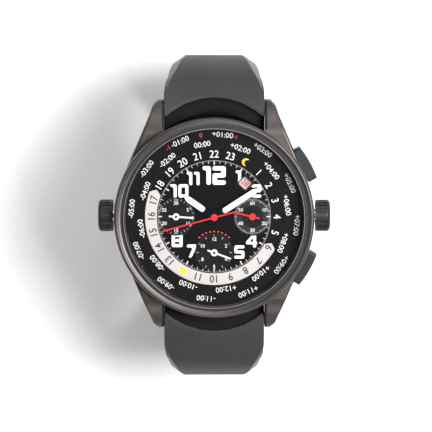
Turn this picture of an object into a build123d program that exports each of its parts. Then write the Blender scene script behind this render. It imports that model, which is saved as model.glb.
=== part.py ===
"""World time watch on a rubber strap, closed on its folding clasp and standing on it.

Millimetres. The origin is the centre of the case back's wrist side, +Z goes up through
the dial, +Y points at 12 o'clock and +X at 3 o'clock, where the winding crown is.
"""

import os
from math import cos, pi, radians, sin

from build123d import *

os.makedirs("parts", exist_ok=True)

# Shared clearances
RUNNING_FIT = 0.05
SEAT_GAP = 0.05
SIDE_GAP = 0.1
OVERRUN = 2.0
LINE_FIT = 0.02

# Heights of the layers of the watch head, measured up from the case back
BACK_THICK = 1.2
BACK_SPIGOT_TOP = 2.2
CASE_TOP = 9.0
BEZEL_TOP = 12.2
BRIDGE_LOW = 2.85
BRIDGE_HIGH = 3.5
PLATE_LOW = 5.5
PLATE_HIGH = 6.55
DIAL_LOW = 7.9
DIAL_HIGH = 8.3
CROWN_AXIS_HEIGHT = 6.2

# Plan radii of the watch head
CASE_RADIUS = 21.55
LOWER_BORE = 16.3
UPPER_BORE = 19.8
UPPER_BORE_FLOOR = 7.3
MOVEMENT_RADIUS = 15.0

# Lugs
LUG_TANGENT_ANGLE = 23.8
LUG_TIP_HALF_INNER = 11.05
LUG_TIP_HALF_OUTER = 14.0
LUG_REACH = 25.0
LUG_SHOULDER = 22.0
LUG_CORNER = 1.2
LUG_TIP_TOP = 4.4
LUG_TIP_LOW = -0.6
LUG_TIP_ROUND = 1.2
LUG_SLOPE_START = 18.0
LUG_SLOPE_MIDDLE = 22.5
LUG_SLOPE_MIDDLE_HEIGHT = 7.0
LUG_UNDER_START = 19.4
STRAP_SLOT_RADIUS = 20.9
BAR_REACH = 23.3
BAR_HEIGHT = 2.6
BAR_RADIUS = 0.9
BAR_PIN_RADIUS = 0.5
BAR_PIN_DEPTH = 1.1
EDGE_BREAK = 0.35
CASE_EDGE_ROUND = 0.5
LUG_START_SHARE = 0.1
LUG_END_SHARE = 1.6
TIP_SHARE = 0.15


def disc(radius, low, high, at=(0, 0), mode=Mode.ADD):
    """Adds an upright cylinder between two heights to the part being built."""
    with BuildSketch(Plane.XY.offset(low)) as face:
        with Locations(at):
            Circle(radius)
    extrude(face.sketch, amount=high - low, mode=mode)


def ring(outer, inner, low, high, at=(0, 0), mode=Mode.ADD):
    """Adds an upright tube between two heights to the part being built."""
    with BuildSketch(Plane.XY.offset(low)) as face:
        with Locations(at):
            Circle(outer)
            Circle(inner, mode=Mode.SUBTRACT)
    extrude(face.sketch, amount=high - low, mode=mode)


def toothed(pitch, teeth, depth, low, high, at=(0, 0), mode=Mode.ADD):
    """Adds a wheel with pointed teeth, whose tips just cross the pitch circle."""
    tip = pitch + depth * TIP_SHARE
    root = pitch - depth
    points = []
    for tooth in range(teeth):
        start = 2 * pi * tooth / teeth
        middle = start + pi / teeth
        points.append((at[0] + tip * cos(start), at[1] + tip * sin(start)))
        points.append((at[0] + root * cos(middle), at[1] + root * sin(middle)))
    with BuildSketch(Plane.XY.offset(low)) as face:
        with BuildLine():
            Polyline(*points, close=True)
        make_face()
    extrude(face.sketch, amount=high - low, mode=mode)


def cross_pin(spot, radius, half, mode=Mode.ADD):
    """Adds a pin that lies along X at a place given as (y, height), or bores its hole."""
    with BuildSketch(Plane.YZ) as section:
        with Locations(spot):
            Circle(radius)
    extrude(section.sketch, amount=half, both=True, mode=mode)


def spokes(outer, inner, width, count, low, high, at=(0, 0)):
    """Cuts the openings between the arms of a wheel."""
    with BuildSketch(Plane.XY.offset(low)) as face:
        with Locations(at):
            Circle(outer)
            Circle(inner, mode=Mode.SUBTRACT)
            with PolarLocations(0, count):
                Rectangle(outer + width, width, align=(Align.MIN, Align.CENTER), mode=Mode.SUBTRACT)
    extrude(face.sketch, amount=high - low, mode=Mode.SUBTRACT)


def polar(radius, angle):
    """Gives the place at a radius and an angle measured from +X."""
    return (radius * cos(radians(angle)), radius * sin(radians(angle)))


def across(turn, distance):
    """Gives the plane square to a pusher's travel at a distance from the watch axis."""
    way = Vector(cos(radians(turn)), sin(radians(turn)), 0)
    return Plane(
        origin=way * distance + Vector(0, 0, CROWN_AXIS_HEIGHT),
        x_dir=(-way.Y, way.X, 0),
        z_dir=way,
    )


def finish(built, label):
    """Labels a finished piece and writes its file."""
    built.part.label = label
    export_step(built.part, f"parts/{label}.step")


# Crowns and pushers
CROWN_RADIUS = 3.45
CROWN_START = 22.0
CROWN_LENGTH = 3.2
CROWN_COLLAR = 0.6
CROWN_ROUND = 0.8
CROWN_FLUTES = 24
FLUTE_DEPTH = 0.18
FLUTE_WIDTH = 0.42
STEM_RADIUS = 0.6
TUBE_OUTER = 1.5
TUBE_INNER = 1.1
TUBE_START = 19.9
TUBE_STICKOUT = 0.25
CROWN_RECESS = 1.9
CROWN_RECESS_DEPTH = 1.9
PUSHER_ANGLE = 30.0
PUSHER_WIDTH = 7.7
PUSHER_HEIGHT = 4.2
PUSHER_OUTER = 23.85
PUSHER_INNER = 21.45
PUSHER_ROUND = 0.5
PUSHER_STEM_RADIUS = 0.8
PUSHER_STEM_END = 17.6
POCKET_FLOOR = 20.55
POCKET_GAP = 0.12
SPRING_OUTER = 1.9
SPRING_INNER = 1.35
SPRING_RECESS = 0.9
ZONE_PINION_RADIUS = 1.5
ZONE_PINION_START = 16.8
ZONE_PINION_LENGTH = 1.1

# Fasteners of the case back
BACK_RADIUS = 18.6
BACK_SPIGOT_RADIUS = 16.2
BACK_SPIGOT_INNER = 15.2
BACK_SCREW_CIRCLE = 17.35
BACK_SCREW_HEAD = 0.75
BACK_SCREW_HEAD_DEPTH = 0.6
BACK_SCREW_SHANK = 0.45
BACK_SCREW_LENGTH = 2.6
BACK_SCREWS = 6
WINDOW_RADIUS = 12.6
WINDOW_SEAT_RADIUS = 13.0
WINDOW_LEDGE_RADIUS = 12.0
WINDOW_LEDGE_HEIGHT = 0.85

# Bezel rim on the case
RIM_OUTER = 20.85
RIM_INNER = 20.35
RIM_HEIGHT = 0.6

lug_tangent = polar(CASE_RADIUS, LUG_TANGENT_ANGLE)
bar_spots = [(BAR_REACH, BAR_HEIGHT), (-BAR_REACH, BAR_HEIGHT)]
screw_angles = [turn * 360 / BACK_SCREWS + 360 / BACK_SCREWS / 2 for turn in range(BACK_SCREWS)]

# The case middle: a round body whose flanks run straight into four lugs
with BuildPart() as case_middle:
    with BuildSketch(Plane.XY.offset(LUG_TIP_LOW)) as plan:
        Circle(CASE_RADIUS)
        with BuildLine():
            Polyline(
                (LUG_TIP_HALF_INNER, 0),
                lug_tangent,
                (LUG_TIP_HALF_OUTER, LUG_SHOULDER),
                (LUG_TIP_HALF_OUTER - LUG_CORNER / 2, LUG_REACH - LUG_CORNER),
                (LUG_TIP_HALF_INNER + LUG_CORNER, LUG_REACH),
                (LUG_TIP_HALF_INNER, LUG_REACH),
                close=True,
            )
        make_face()
        mirror(about=Plane.YZ)
        mirror(about=Plane.XZ)
    extrude(amount=CASE_TOP - LUG_TIP_LOW)
    with BuildSketch(Plane.YZ) as side:
        with BuildLine():
            Polyline((0, CASE_TOP), (LUG_SLOPE_START, CASE_TOP))
            slope = Spline(
                (LUG_SLOPE_START, CASE_TOP),
                (LUG_SLOPE_MIDDLE, LUG_SLOPE_MIDDLE_HEIGHT),
                (LUG_REACH, LUG_TIP_TOP),
                tangents=((1, -LUG_START_SHARE), (1, -LUG_END_SHARE)),
            )
            Polyline(
                (LUG_REACH, LUG_TIP_TOP),
                (LUG_REACH, LUG_TIP_LOW + LUG_TIP_ROUND),
                (LUG_REACH - LUG_TIP_ROUND, LUG_TIP_LOW),
                (LUG_UNDER_START, BACK_THICK),
                (0, BACK_THICK),
                (0, CASE_TOP),
            )
        make_face()
        mirror(about=Plane.YZ)
    extrude(amount=CASE_RADIUS + OVERRUN, both=True, mode=Mode.INTERSECT)
    rim_low = LUG_TIP_TOP - EDGE_BREAK
    rim_edges = case_middle.edges().filter_by_position(Axis.Z, rim_low, CASE_TOP + EDGE_BREAK)
    fillet([edge for edge in rim_edges if edge.center().Z > LUG_TIP_TOP - LINE_FIT], radius=CASE_EDGE_ROUND)
    with BuildSketch(Plane.XY.offset(LUG_TIP_LOW)) as slot:
        Rectangle(2 * LUG_TIP_HALF_INNER, 2 * (LUG_REACH + OVERRUN))
        Circle(STRAP_SLOT_RADIUS, mode=Mode.SUBTRACT)
    extrude(amount=CASE_TOP - LUG_TIP_LOW, mode=Mode.SUBTRACT)
    disc(LOWER_BORE, BACK_THICK, CASE_TOP, mode=Mode.SUBTRACT)
    disc(UPPER_BORE, UPPER_BORE_FLOOR, CASE_TOP, mode=Mode.SUBTRACT)
    ring(RIM_OUTER, RIM_INNER, CASE_TOP, CASE_TOP + RIM_HEIGHT)
    for spot in bar_spots:
        cross_pin(spot, BAR_PIN_RADIUS + RUNNING_FIT, LUG_TIP_HALF_INNER + BAR_PIN_DEPTH, Mode.SUBTRACT)
    for crown_side in (1, -1):
        with BuildSketch(Plane.YZ.offset(crown_side * LOWER_BORE / 2)) as tube_bore:
            with Locations((0, CROWN_AXIS_HEIGHT)):
                Circle(TUBE_OUTER)
        extrude(amount=crown_side * (CASE_RADIUS + OVERRUN - LOWER_BORE / 2), mode=Mode.SUBTRACT)
    with BuildSketch(Plane.YZ.offset(-LOWER_BORE + OVERRUN)) as pinion_pocket:
        with Locations((0, CROWN_AXIS_HEIGHT)):
            Circle(ZONE_PINION_RADIUS + 3 * SIDE_GAP)
    pocket_depth = ZONE_PINION_START + ZONE_PINION_LENGTH + 2 * SIDE_GAP - LOWER_BORE + OVERRUN
    extrude(amount=-pocket_depth, mode=Mode.SUBTRACT)
    for turn in (PUSHER_ANGLE, -PUSHER_ANGLE):
        with BuildSketch(across(turn, POCKET_FLOOR)) as pocket:
            RectangleRounded(PUSHER_WIDTH + 2 * POCKET_GAP, PUSHER_HEIGHT + 2 * POCKET_GAP, PUSHER_ROUND)
        extrude(amount=OVERRUN + CASE_RADIUS - POCKET_FLOOR, mode=Mode.SUBTRACT)
        with BuildSketch(across(turn, LOWER_BORE - OVERRUN)) as stem_bore:
            Circle(TUBE_INNER + SIDE_GAP)
        extrude(amount=POCKET_FLOOR - LOWER_BORE + 2 * OVERRUN, mode=Mode.SUBTRACT)
    with BuildSketch(Plane.XY.offset(BACK_THICK)) as threads:
        with PolarLocations(BACK_SCREW_CIRCLE, BACK_SCREWS, start_angle=screw_angles[0]):
            Circle(BACK_SCREW_SHANK)
    extrude(amount=BACK_SCREW_LENGTH - BACK_SCREW_HEAD_DEPTH, mode=Mode.SUBTRACT)
finish(case_middle, "case_middle")

# Bezel, crystal and their gasket
BEZEL_OUTER = 21.7
BEZEL_FOOT = 21.35
BEZEL_INNER = 20.3
BEZEL_LEDGE = 19.25
BEZEL_SHOULDER_HEIGHT = 11.2
BEZEL_INNER_TOP = 11.9
CRYSTAL_RADIUS = 19.5
CRYSTAL_LOW = 10.9
CRYSTAL_TOP = 12.7
CRYSTAL_CHAMFER = 0.3

with BuildPart() as bezel:
    with BuildSketch(Plane.XZ):
        with BuildLine():
            Polyline(
                (BEZEL_LEDGE, CASE_TOP),
                (BEZEL_FOOT, CASE_TOP),
                (BEZEL_OUTER, CASE_TOP + EDGE_BREAK),
                (BEZEL_OUTER, BEZEL_SHOULDER_HEIGHT),
            )
            Spline(
                (BEZEL_OUTER, BEZEL_SHOULDER_HEIGHT),
                (BEZEL_INNER + (BEZEL_OUTER - BEZEL_INNER) / 2, BEZEL_TOP),
                (BEZEL_INNER, BEZEL_INNER_TOP),
                tangents=((0, 1), (-1, -LUG_START_SHARE)),
            )
            Polyline(
                (BEZEL_INNER, BEZEL_INNER_TOP),
                (BEZEL_INNER, CRYSTAL_LOW),
                (BEZEL_LEDGE, CRYSTAL_LOW),
                (BEZEL_LEDGE, CASE_TOP),
            )
        make_face()
    revolve(axis=Axis.Z)
    ring(
        RIM_OUTER + SEAT_GAP,
        RIM_INNER - SEAT_GAP,
        CASE_TOP,
        CASE_TOP + RIM_HEIGHT + SEAT_GAP,
        mode=Mode.SUBTRACT,
    )
finish(bezel, "bezel")

with BuildPart() as crystal:
    disc(CRYSTAL_RADIUS, CRYSTAL_LOW, CRYSTAL_TOP)
    chamfer(crystal.edges().group_by(Axis.Z)[-1], length=CRYSTAL_CHAMFER)
finish(crystal, "crystal")

# Case back, its window and its screws
with BuildPart() as case_back:
    ring(BACK_RADIUS, WINDOW_LEDGE_RADIUS, 0, BACK_THICK)
    chamfer(case_back.edges().group_by(Axis.Z)[0].sort_by(SortBy.RADIUS)[-1], length=EDGE_BREAK)
    ring(BACK_SPIGOT_RADIUS, BACK_SPIGOT_INNER, BACK_THICK, BACK_SPIGOT_TOP)
    disc(WINDOW_SEAT_RADIUS, 0, WINDOW_LEDGE_HEIGHT, mode=Mode.SUBTRACT)
    with PolarLocations(BACK_SCREW_CIRCLE, BACK_SCREWS, start_angle=screw_angles[0]):
        with Locations((0, 0, 0)):
            Hole(BACK_SCREW_SHANK + SEAT_GAP)
    for angle in screw_angles:
        disc(
            BACK_SCREW_HEAD + SEAT_GAP,
            0,
            BACK_SCREW_HEAD_DEPTH,
            polar(BACK_SCREW_CIRCLE, angle),
            mode=Mode.SUBTRACT,
        )
finish(case_back, "case_back")

with BuildPart() as back_window:
    disc(WINDOW_RADIUS, 0, WINDOW_LEDGE_HEIGHT)
finish(back_window, "back_window")

with BuildPart() as glass_gaskets:
    ring(BEZEL_INNER, CRYSTAL_RADIUS, CRYSTAL_LOW, BEZEL_INNER_TOP)
    ring(WINDOW_SEAT_RADIUS, WINDOW_RADIUS, 0, WINDOW_LEDGE_HEIGHT)
finish(glass_gaskets, "glass_gaskets")

with BuildPart() as case_back_screws:
    for angle in screw_angles:
        spot = polar(BACK_SCREW_CIRCLE, angle)
        disc(BACK_SCREW_HEAD, SEAT_GAP, BACK_SCREW_HEAD_DEPTH, spot)
        disc(BACK_SCREW_SHANK, BACK_SCREW_HEAD_DEPTH, BACK_SCREW_LENGTH, spot)
finish(case_back_screws, "case_back_screws")

# Tubes of the crowns and pushers, crowns, stems and seals
with BuildPart() as stem_tubes:
    for crown_side in (1, -1):
        with BuildSketch(Plane.YZ.offset(crown_side * TUBE_START)) as section:
            with Locations((0, CROWN_AXIS_HEIGHT)):
                Circle(TUBE_OUTER)
                Circle(TUBE_INNER, mode=Mode.SUBTRACT)
        extrude(section.sketch, amount=crown_side * (CROWN_START + TUBE_STICKOUT - TUBE_START))
    for turn in (PUSHER_ANGLE, -PUSHER_ANGLE):
        with BuildSketch(across(turn, TUBE_START)) as section:
            Circle(TUBE_INNER + SIDE_GAP)
            Circle(PUSHER_STEM_RADIUS + RUNNING_FIT, mode=Mode.SUBTRACT)
        extrude(section.sketch, amount=POCKET_FLOOR - TUBE_START)
finish(stem_tubes, "stem_tubes")


def crown_body(crown_side):
    """Adds one fluted crown with its collar, rounded end and recess."""
    start = Plane(
        origin=(crown_side * CROWN_START, 0, CROWN_AXIS_HEIGHT),
        x_dir=(0, 1, 0),
        z_dir=(crown_side, 0, 0),
    )
    with BuildSketch(start) as collar:
        Circle(CROWN_RADIUS)
    grip = extrude(collar.sketch, amount=CROWN_LENGTH)
    end = grip.edges().filter_by(GeomType.CIRCLE).sort_by(Axis.X)[-1 if crown_side > 0 else 0]
    fillet(end, radius=CROWN_ROUND)
    with BuildSketch(start.offset(CROWN_COLLAR)) as flutes:
        with PolarLocations(CROWN_RADIUS, CROWN_FLUTES):
            Rectangle(2 * FLUTE_DEPTH, FLUTE_WIDTH)
    extrude(flutes.sketch, amount=CROWN_LENGTH - CROWN_COLLAR - CROWN_ROUND / 2, mode=Mode.SUBTRACT)
    with BuildSketch(start) as recess:
        Circle(CROWN_RECESS)
    extrude(recess.sketch, amount=CROWN_RECESS_DEPTH, mode=Mode.SUBTRACT)


def stem_body(crown_side, start, end):
    """Adds the round stem of a crown between two distances from the watch axis."""
    with BuildSketch(Plane.YZ.offset(crown_side * start)) as section:
        with Locations((0, CROWN_AXIS_HEIGHT)):
            Circle(STEM_RADIUS)
    extrude(section.sketch, amount=crown_side * (end - start))


STEM_END = 13.9
recess_floor = CROWN_START + CROWN_RECESS_DEPTH

with BuildPart() as winding_crown:
    crown_body(1)
finish(winding_crown, "winding_crown")

with BuildPart() as winding_stem:
    stem_body(1, STEM_END + SEAT_GAP, recess_floor)
finish(winding_stem, "winding_stem")

with BuildPart() as zone_crown:
    crown_body(-1)
finish(zone_crown, "zone_crown")

ZONE_LEAVES = 8
ZONE_LEAF = 0.5
with BuildPart() as zone_stem:
    stem_body(-1, ZONE_PINION_START, recess_floor)
    tip = ZONE_PINION_RADIUS
    root = ZONE_PINION_RADIUS - ZONE_LEAF
    with BuildSketch(Plane.YZ.offset(-ZONE_PINION_START)) as leaves:
        with Locations((0, CROWN_AXIS_HEIGHT)):
            Circle(root)
            with PolarLocations(0, ZONE_LEAVES):
                Rectangle(tip, ZONE_LEAF / 2, align=(Align.MIN, Align.CENTER))
    extrude(leaves.sketch, amount=-ZONE_PINION_LENGTH)
finish(zone_stem, "zone_stem")

SEAL_THICK = 0.6
SEAL_START = 21.2
with BuildPart() as crown_seal:
    with BuildSketch(Plane.YZ.offset(SEAL_START)) as section:
        with Locations((0, CROWN_AXIS_HEIGHT)):
            Circle(TUBE_INNER - LINE_FIT)
            Circle(STEM_RADIUS + LINE_FIT, mode=Mode.SUBTRACT)
    extrude(section.sketch, amount=SEAL_THICK)
finish(crown_seal, "crown_seal")


def pusher_body(turn):
    """Adds a pusher with its curved face, recess for the spring and stem."""
    with BuildSketch(across(turn, PUSHER_INNER)) as block:
        RectangleRounded(PUSHER_WIDTH, PUSHER_HEIGHT, PUSHER_ROUND)
    extrude(block.sketch, amount=PUSHER_OUTER + OVERRUN - PUSHER_INNER)
    with BuildSketch(Plane.XY.offset(CROWN_AXIS_HEIGHT - PUSHER_HEIGHT)) as around:
        Circle(PUSHER_OUTER)
    extrude(around.sketch, amount=2 * PUSHER_HEIGHT, mode=Mode.INTERSECT)
    with BuildSketch(across(turn, PUSHER_INNER)) as recess:
        Circle(SPRING_OUTER + SIDE_GAP / 2)
    extrude(recess.sketch, amount=SPRING_RECESS, mode=Mode.SUBTRACT)
    with BuildSketch(across(turn, PUSHER_STEM_END)) as stem:
        Circle(PUSHER_STEM_RADIUS)
    extrude(stem.sketch, amount=PUSHER_INNER + SPRING_RECESS - PUSHER_STEM_END)


def spring_body(turn):
    """Adds the return spring of a pusher as the tube that its coils fill."""
    with BuildSketch(across(turn, POCKET_FLOOR)) as coil:
        Circle(SPRING_OUTER)
        Circle(SPRING_INNER, mode=Mode.SUBTRACT)
    extrude(coil.sketch, amount=PUSHER_INNER + SPRING_RECESS - POCKET_FLOOR)


with BuildPart() as start_pusher:
    pusher_body(PUSHER_ANGLE)
finish(start_pusher, "start_pusher")

with BuildPart() as reset_pusher:
    pusher_body(-PUSHER_ANGLE)
finish(reset_pusher, "reset_pusher")

with BuildPart() as start_pusher_spring:
    spring_body(PUSHER_ANGLE)
finish(start_pusher_spring, "start_pusher_spring")

with BuildPart() as reset_pusher_spring:
    spring_body(-PUSHER_ANGLE)
finish(reset_pusher_spring, "reset_pusher_spring")

# Spring bars that carry the strap
with BuildPart() as lug_spring_bars:
    for spot in bar_spots:
        cross_pin(spot, BAR_RADIUS, LUG_TIP_HALF_INNER - SIDE_GAP)
        cross_pin(spot, BAR_PIN_RADIUS, LUG_TIP_HALF_INNER + BAR_PIN_DEPTH - SIDE_GAP)
finish(lug_spring_bars, "lug_spring_bars")

# Places of the movement's arbors, in plan
SUBDIAL_OFFSET = 8.29
HOURS_SUBDIAL_OFFSET = 7.88
CENTRE_TO_THIRD = 7.2
THIRD_TO_FOURTH = 6.8
FOURTH_TO_ESCAPE = 5.4
ESCAPE_ANGLE = 75.0
BARREL_DISTANCE = 7.6
BARREL_ANGLE = 160.0
BALANCE_SPOT = (3.5, 10.2)
FORK_SPOT = (7.35, 7.65)
MINUTE_WHEEL_DISTANCE = 8.0
MINUTE_WHEEL_ANGLE = 110.0
IDLER_DISTANCE = 9.6
IDLER_ANGLE = 225.0
HOUR_WHEEL_PITCH = 6.4

third_x = (CENTRE_TO_THIRD**2 - THIRD_TO_FOURTH**2 + SUBDIAL_OFFSET**2) / (2 * SUBDIAL_OFFSET)
third_spot = (third_x, -((CENTRE_TO_THIRD**2 - third_x**2) ** 0.5))
fourth_spot = (SUBDIAL_OFFSET, 0)
escape_turn = polar(FOURTH_TO_ESCAPE, ESCAPE_ANGLE)
escape_spot = (SUBDIAL_OFFSET + escape_turn[0], escape_turn[1])
barrel_spot = polar(BARREL_DISTANCE, BARREL_ANGLE)
minute_wheel_spot = polar(MINUTE_WHEEL_DISTANCE, MINUTE_WHEEL_ANGLE)
idler_spot = polar(IDLER_DISTANCE, IDLER_ANGLE)
minutes_spot = (-SUBDIAL_OFFSET, 0)
hours_spot = (0, -HOURS_SUBDIAL_OFFSET)

# Movement ring and main plate
MOVEMENT_RING_LOW = 2.4
MOVEMENT_RING_STEP = 14.75
PLATE_GAP = 0.02
ARBOR = 0.22
ARBOR_BORE = 0.27
COUNTER_ARBOR = 0.25
JEWEL_RADIUS = 0.75
JEWEL_THICK = 0.35
WHEEL_THICK = 0.25
WHEEL_RIM = 0.8
WHEEL_HUB = 1.3
WHEEL_ARM = 0.6
TOOTH = 0.4
CENTRE_TUBE = 0.5

with BuildPart() as movement_ring:
    ring(LOWER_BORE - SEAT_GAP, MOVEMENT_RADIUS + PLATE_GAP, MOVEMENT_RING_LOW, PLATE_HIGH)
    ring(LOWER_BORE - SEAT_GAP, MOVEMENT_RING_STEP, PLATE_HIGH, DIAL_LOW)
    for crown_side in (1, -1):
        with BuildSketch(Plane.YZ) as passage:
            with Locations((0, CROWN_AXIS_HEIGHT)):
                Circle(ZONE_PINION_RADIUS + 3 * SIDE_GAP)
        extrude(passage.sketch, amount=crown_side * CASE_RADIUS, mode=Mode.SUBTRACT)
finish(movement_ring, "movement_ring")

jewel_pivots = [third_spot, fourth_spot, escape_spot, FORK_SPOT, BALANCE_SPOT]
with BuildPart() as main_plate:
    disc(MOVEMENT_RADIUS, PLATE_LOW, PLATE_HIGH)
    for spot in jewel_pivots:
        disc(JEWEL_RADIUS, PLATE_LOW, PLATE_LOW + JEWEL_THICK, spot, Mode.SUBTRACT)
        disc(ARBOR_BORE, PLATE_LOW, PLATE_HIGH, spot, Mode.SUBTRACT)
    for spot in (minutes_spot, hours_spot):
        disc(COUNTER_ARBOR + RUNNING_FIT, PLATE_LOW, PLATE_HIGH, spot, Mode.SUBTRACT)
    disc(CENTRE_TUBE + RUNNING_FIT, PLATE_LOW, PLATE_HIGH, mode=Mode.SUBTRACT)
    disc(ARBOR * 2 + RUNNING_FIT, PLATE_LOW, PLATE_HIGH - JEWEL_THICK, barrel_spot, Mode.SUBTRACT)
    with BuildSketch(Plane.YZ.offset(STEM_END)) as keyway:
        with Locations((0, CROWN_AXIS_HEIGHT)):
            Rectangle(2 * STEM_RADIUS + SIDE_GAP, 2 * STEM_RADIUS + SIDE_GAP)
    extrude(keyway.sketch, amount=MOVEMENT_RADIUS, mode=Mode.SUBTRACT)
    for spot in (minute_wheel_spot, idler_spot):
        disc(ARBOR * 2, PLATE_HIGH, PLATE_HIGH + JEWEL_THICK * 2, spot)
finish(main_plate, "main_plate")

with BuildPart() as plate_jewels:
    for spot in jewel_pivots:
        ring(JEWEL_RADIUS, ARBOR_BORE, PLATE_LOW, PLATE_LOW + JEWEL_THICK, spot)
finish(plate_jewels, "plate_jewels")

# Bridges on the back of the movement, seen through the window of the case back
BRIDGE_GAP = 0.35
PILLAR = 1.1
PILLAR_GAP = 0.3
COCK_WIDTH = 4.4
COCK_PILLAR_SPOT = (8.2, 11.5)
COCK_PILLAR_RADIUS = 0.85
SCREW_HEAD = 0.75
SCREW_SUNK = 0.35
BARREL_BRIDGE_CUT = 2.0
train_bridge_screws = [(-11.5, -7.0), (13.0, -4.0), (-1.2, -13.6)]
barrel_bridge_screws = [(-5.0, 12.9)]

with BuildPart() as train_bridge:
    with BuildSketch(Plane.XY.offset(BRIDGE_LOW)) as flat:
        Circle(MOVEMENT_RADIUS - BRIDGE_GAP)
        with BuildLine():
            Polyline(
                (-CASE_RADIUS, -BARREL_BRIDGE_CUT),
                (-BARREL_BRIDGE_CUT, -BARREL_BRIDGE_CUT),
                (BARREL_BRIDGE_CUT, BARREL_BRIDGE_CUT),
                (SUBDIAL_OFFSET, BARREL_BRIDGE_CUT),
                (SUBDIAL_OFFSET, FOURTH_TO_ESCAPE + BARREL_BRIDGE_CUT),
                (CASE_RADIUS, FOURTH_TO_ESCAPE + BARREL_BRIDGE_CUT),
                (CASE_RADIUS, CASE_RADIUS),
                (-CASE_RADIUS, CASE_RADIUS),
                close=True,
            )
        make_face(mode=Mode.SUBTRACT)
    extrude(amount=BRIDGE_HIGH - BRIDGE_LOW)
    for spot in (third_spot, fourth_spot, escape_spot):
        disc(ARBOR_BORE, BRIDGE_LOW, BRIDGE_HIGH, spot, Mode.SUBTRACT)
    disc(CENTRE_TUBE + RUNNING_FIT, BRIDGE_LOW, BRIDGE_HIGH, mode=Mode.SUBTRACT)
    for spot in train_bridge_screws:
        disc(PILLAR, BRIDGE_HIGH, PLATE_LOW, spot)
        disc(SCREW_HEAD + SEAT_GAP, BRIDGE_LOW, BRIDGE_LOW + SCREW_SUNK, spot, Mode.SUBTRACT)
finish(train_bridge, "train_bridge")

with BuildPart() as barrel_bridge:
    with BuildSketch(Plane.XY.offset(BRIDGE_LOW)) as flat:
        Circle(MOVEMENT_RADIUS - BRIDGE_GAP)
        with BuildLine():
            Polyline(
                (-CASE_RADIUS, -BARREL_BRIDGE_CUT + PILLAR_GAP),
                (-BARREL_BRIDGE_CUT - 2 * PILLAR_GAP, -BARREL_BRIDGE_CUT + PILLAR_GAP),
                (BARREL_BRIDGE_CUT - 3 * PILLAR_GAP, BARREL_BRIDGE_CUT),
                (-BARREL_BRIDGE_CUT, FOURTH_TO_ESCAPE),
                (-BARREL_BRIDGE_CUT, CASE_RADIUS),
                (-CASE_RADIUS, CASE_RADIUS),
                close=True,
            )
        make_face(mode=Mode.INTERSECT)
    extrude(amount=BRIDGE_HIGH - BRIDGE_LOW)
    disc(2 * ARBOR + RUNNING_FIT, BRIDGE_LOW, BRIDGE_HIGH, barrel_spot, Mode.SUBTRACT)
    for spot in barrel_bridge_screws:
        disc(PILLAR, BRIDGE_HIGH, PLATE_LOW, spot)
        disc(SCREW_HEAD + SEAT_GAP, BRIDGE_LOW, BRIDGE_LOW + SCREW_SUNK, spot, Mode.SUBTRACT)
finish(barrel_bridge, "barrel_bridge")

with BuildPart() as balance_cock:
    with BuildSketch(Plane.XY.offset(BRIDGE_LOW)) as flat:
        with BuildLine():
            Polyline(BALANCE_SPOT, COCK_PILLAR_SPOT)
        with Locations(BALANCE_SPOT):
            Circle(COCK_WIDTH / 3)
        with Locations(COCK_PILLAR_SPOT):
            Circle(COCK_WIDTH / 3)
        make_hull()
        Circle(MOVEMENT_RADIUS - BRIDGE_GAP, mode=Mode.INTERSECT)
    extrude(amount=BRIDGE_HIGH - BRIDGE_LOW)
    disc(ARBOR_BORE, BRIDGE_LOW, BRIDGE_HIGH, BALANCE_SPOT, Mode.SUBTRACT)
    disc(COCK_PILLAR_RADIUS, BRIDGE_HIGH, PLATE_LOW, COCK_PILLAR_SPOT)
    disc(SCREW_HEAD + SEAT_GAP, BRIDGE_LOW, BRIDGE_LOW + SCREW_SUNK, COCK_PILLAR_SPOT, Mode.SUBTRACT)
finish(balance_cock, "balance_cock")

with BuildPart() as bridge_screws:
    for spot in (*train_bridge_screws, *barrel_bridge_screws, COCK_PILLAR_SPOT):
        disc(SCREW_HEAD, BRIDGE_LOW, BRIDGE_LOW + SCREW_SUNK, spot)
finish(bridge_screws, "bridge_screws")

# Going train
CENTRE_TEETH = 64
CENTRE_PINION_TEETH = 10
THIRD_TEETH = 60
THIRD_PINION_TEETH = 8
FOURTH_TEETH = 64
FOURTH_PINION_TEETH = 8
ESCAPE_PINION_TEETH = 8
WHEEL_ARMS = 5
FOURTH_ARMS = 4
BALANCE_ARMS = 3
CENTRE_WHEEL_LOW = 3.65
CENTRE_PINION_HIGH = 5.3
FOURTH_WHEEL_LOW = 4.3
THIRD_WHEEL_LOW = 4.9
BARREL_LOW = 4.35
BARREL_HIGH = 5.1
BARREL_TEETH = 70
BARREL_PITCH = 6.65
BARREL_DRUM_LOW = 4.05
CENTRE_PINION_PITCH = 0.95
CENTRE_PITCH = 6.4
PINION_PITCH = 0.8
THIRD_PITCH = 6.0
FOURTH_PITCH = 4.8
ESCAPE_PINION_PITCH = 0.6
ESCAPE_RADIUS = 2.5
ESCAPE_LOW = 5.0
ESCAPE_TEETH = 15
BALANCE_RADIUS = 3.9
BALANCE_LOW = 3.85
BALANCE_HIGH = 4.25
BALANCE_RIM = 0.6
PINION_TOOTH = 0.25

with BuildPart() as center_wheel:
    centre_wheel_high = CENTRE_WHEEL_LOW + WHEEL_THICK
    toothed(CENTRE_PITCH, CENTRE_TEETH, TOOTH, CENTRE_WHEEL_LOW, centre_wheel_high)
    spokes(CENTRE_PITCH - WHEEL_RIM, WHEEL_HUB, WHEEL_ARM, WHEEL_ARMS, CENTRE_WHEEL_LOW, centre_wheel_high)
    toothed(CENTRE_PINION_PITCH, CENTRE_PINION_TEETH, PINION_TOOTH, CENTRE_WHEEL_LOW, CENTRE_PINION_HIGH)
    disc(CENTRE_TUBE, BRIDGE_LOW, PLATE_HIGH)
    disc(ARBOR_BORE + SIDE_GAP / 2, BRIDGE_LOW, PLATE_HIGH, mode=Mode.SUBTRACT)
finish(center_wheel, "center_wheel")

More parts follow.
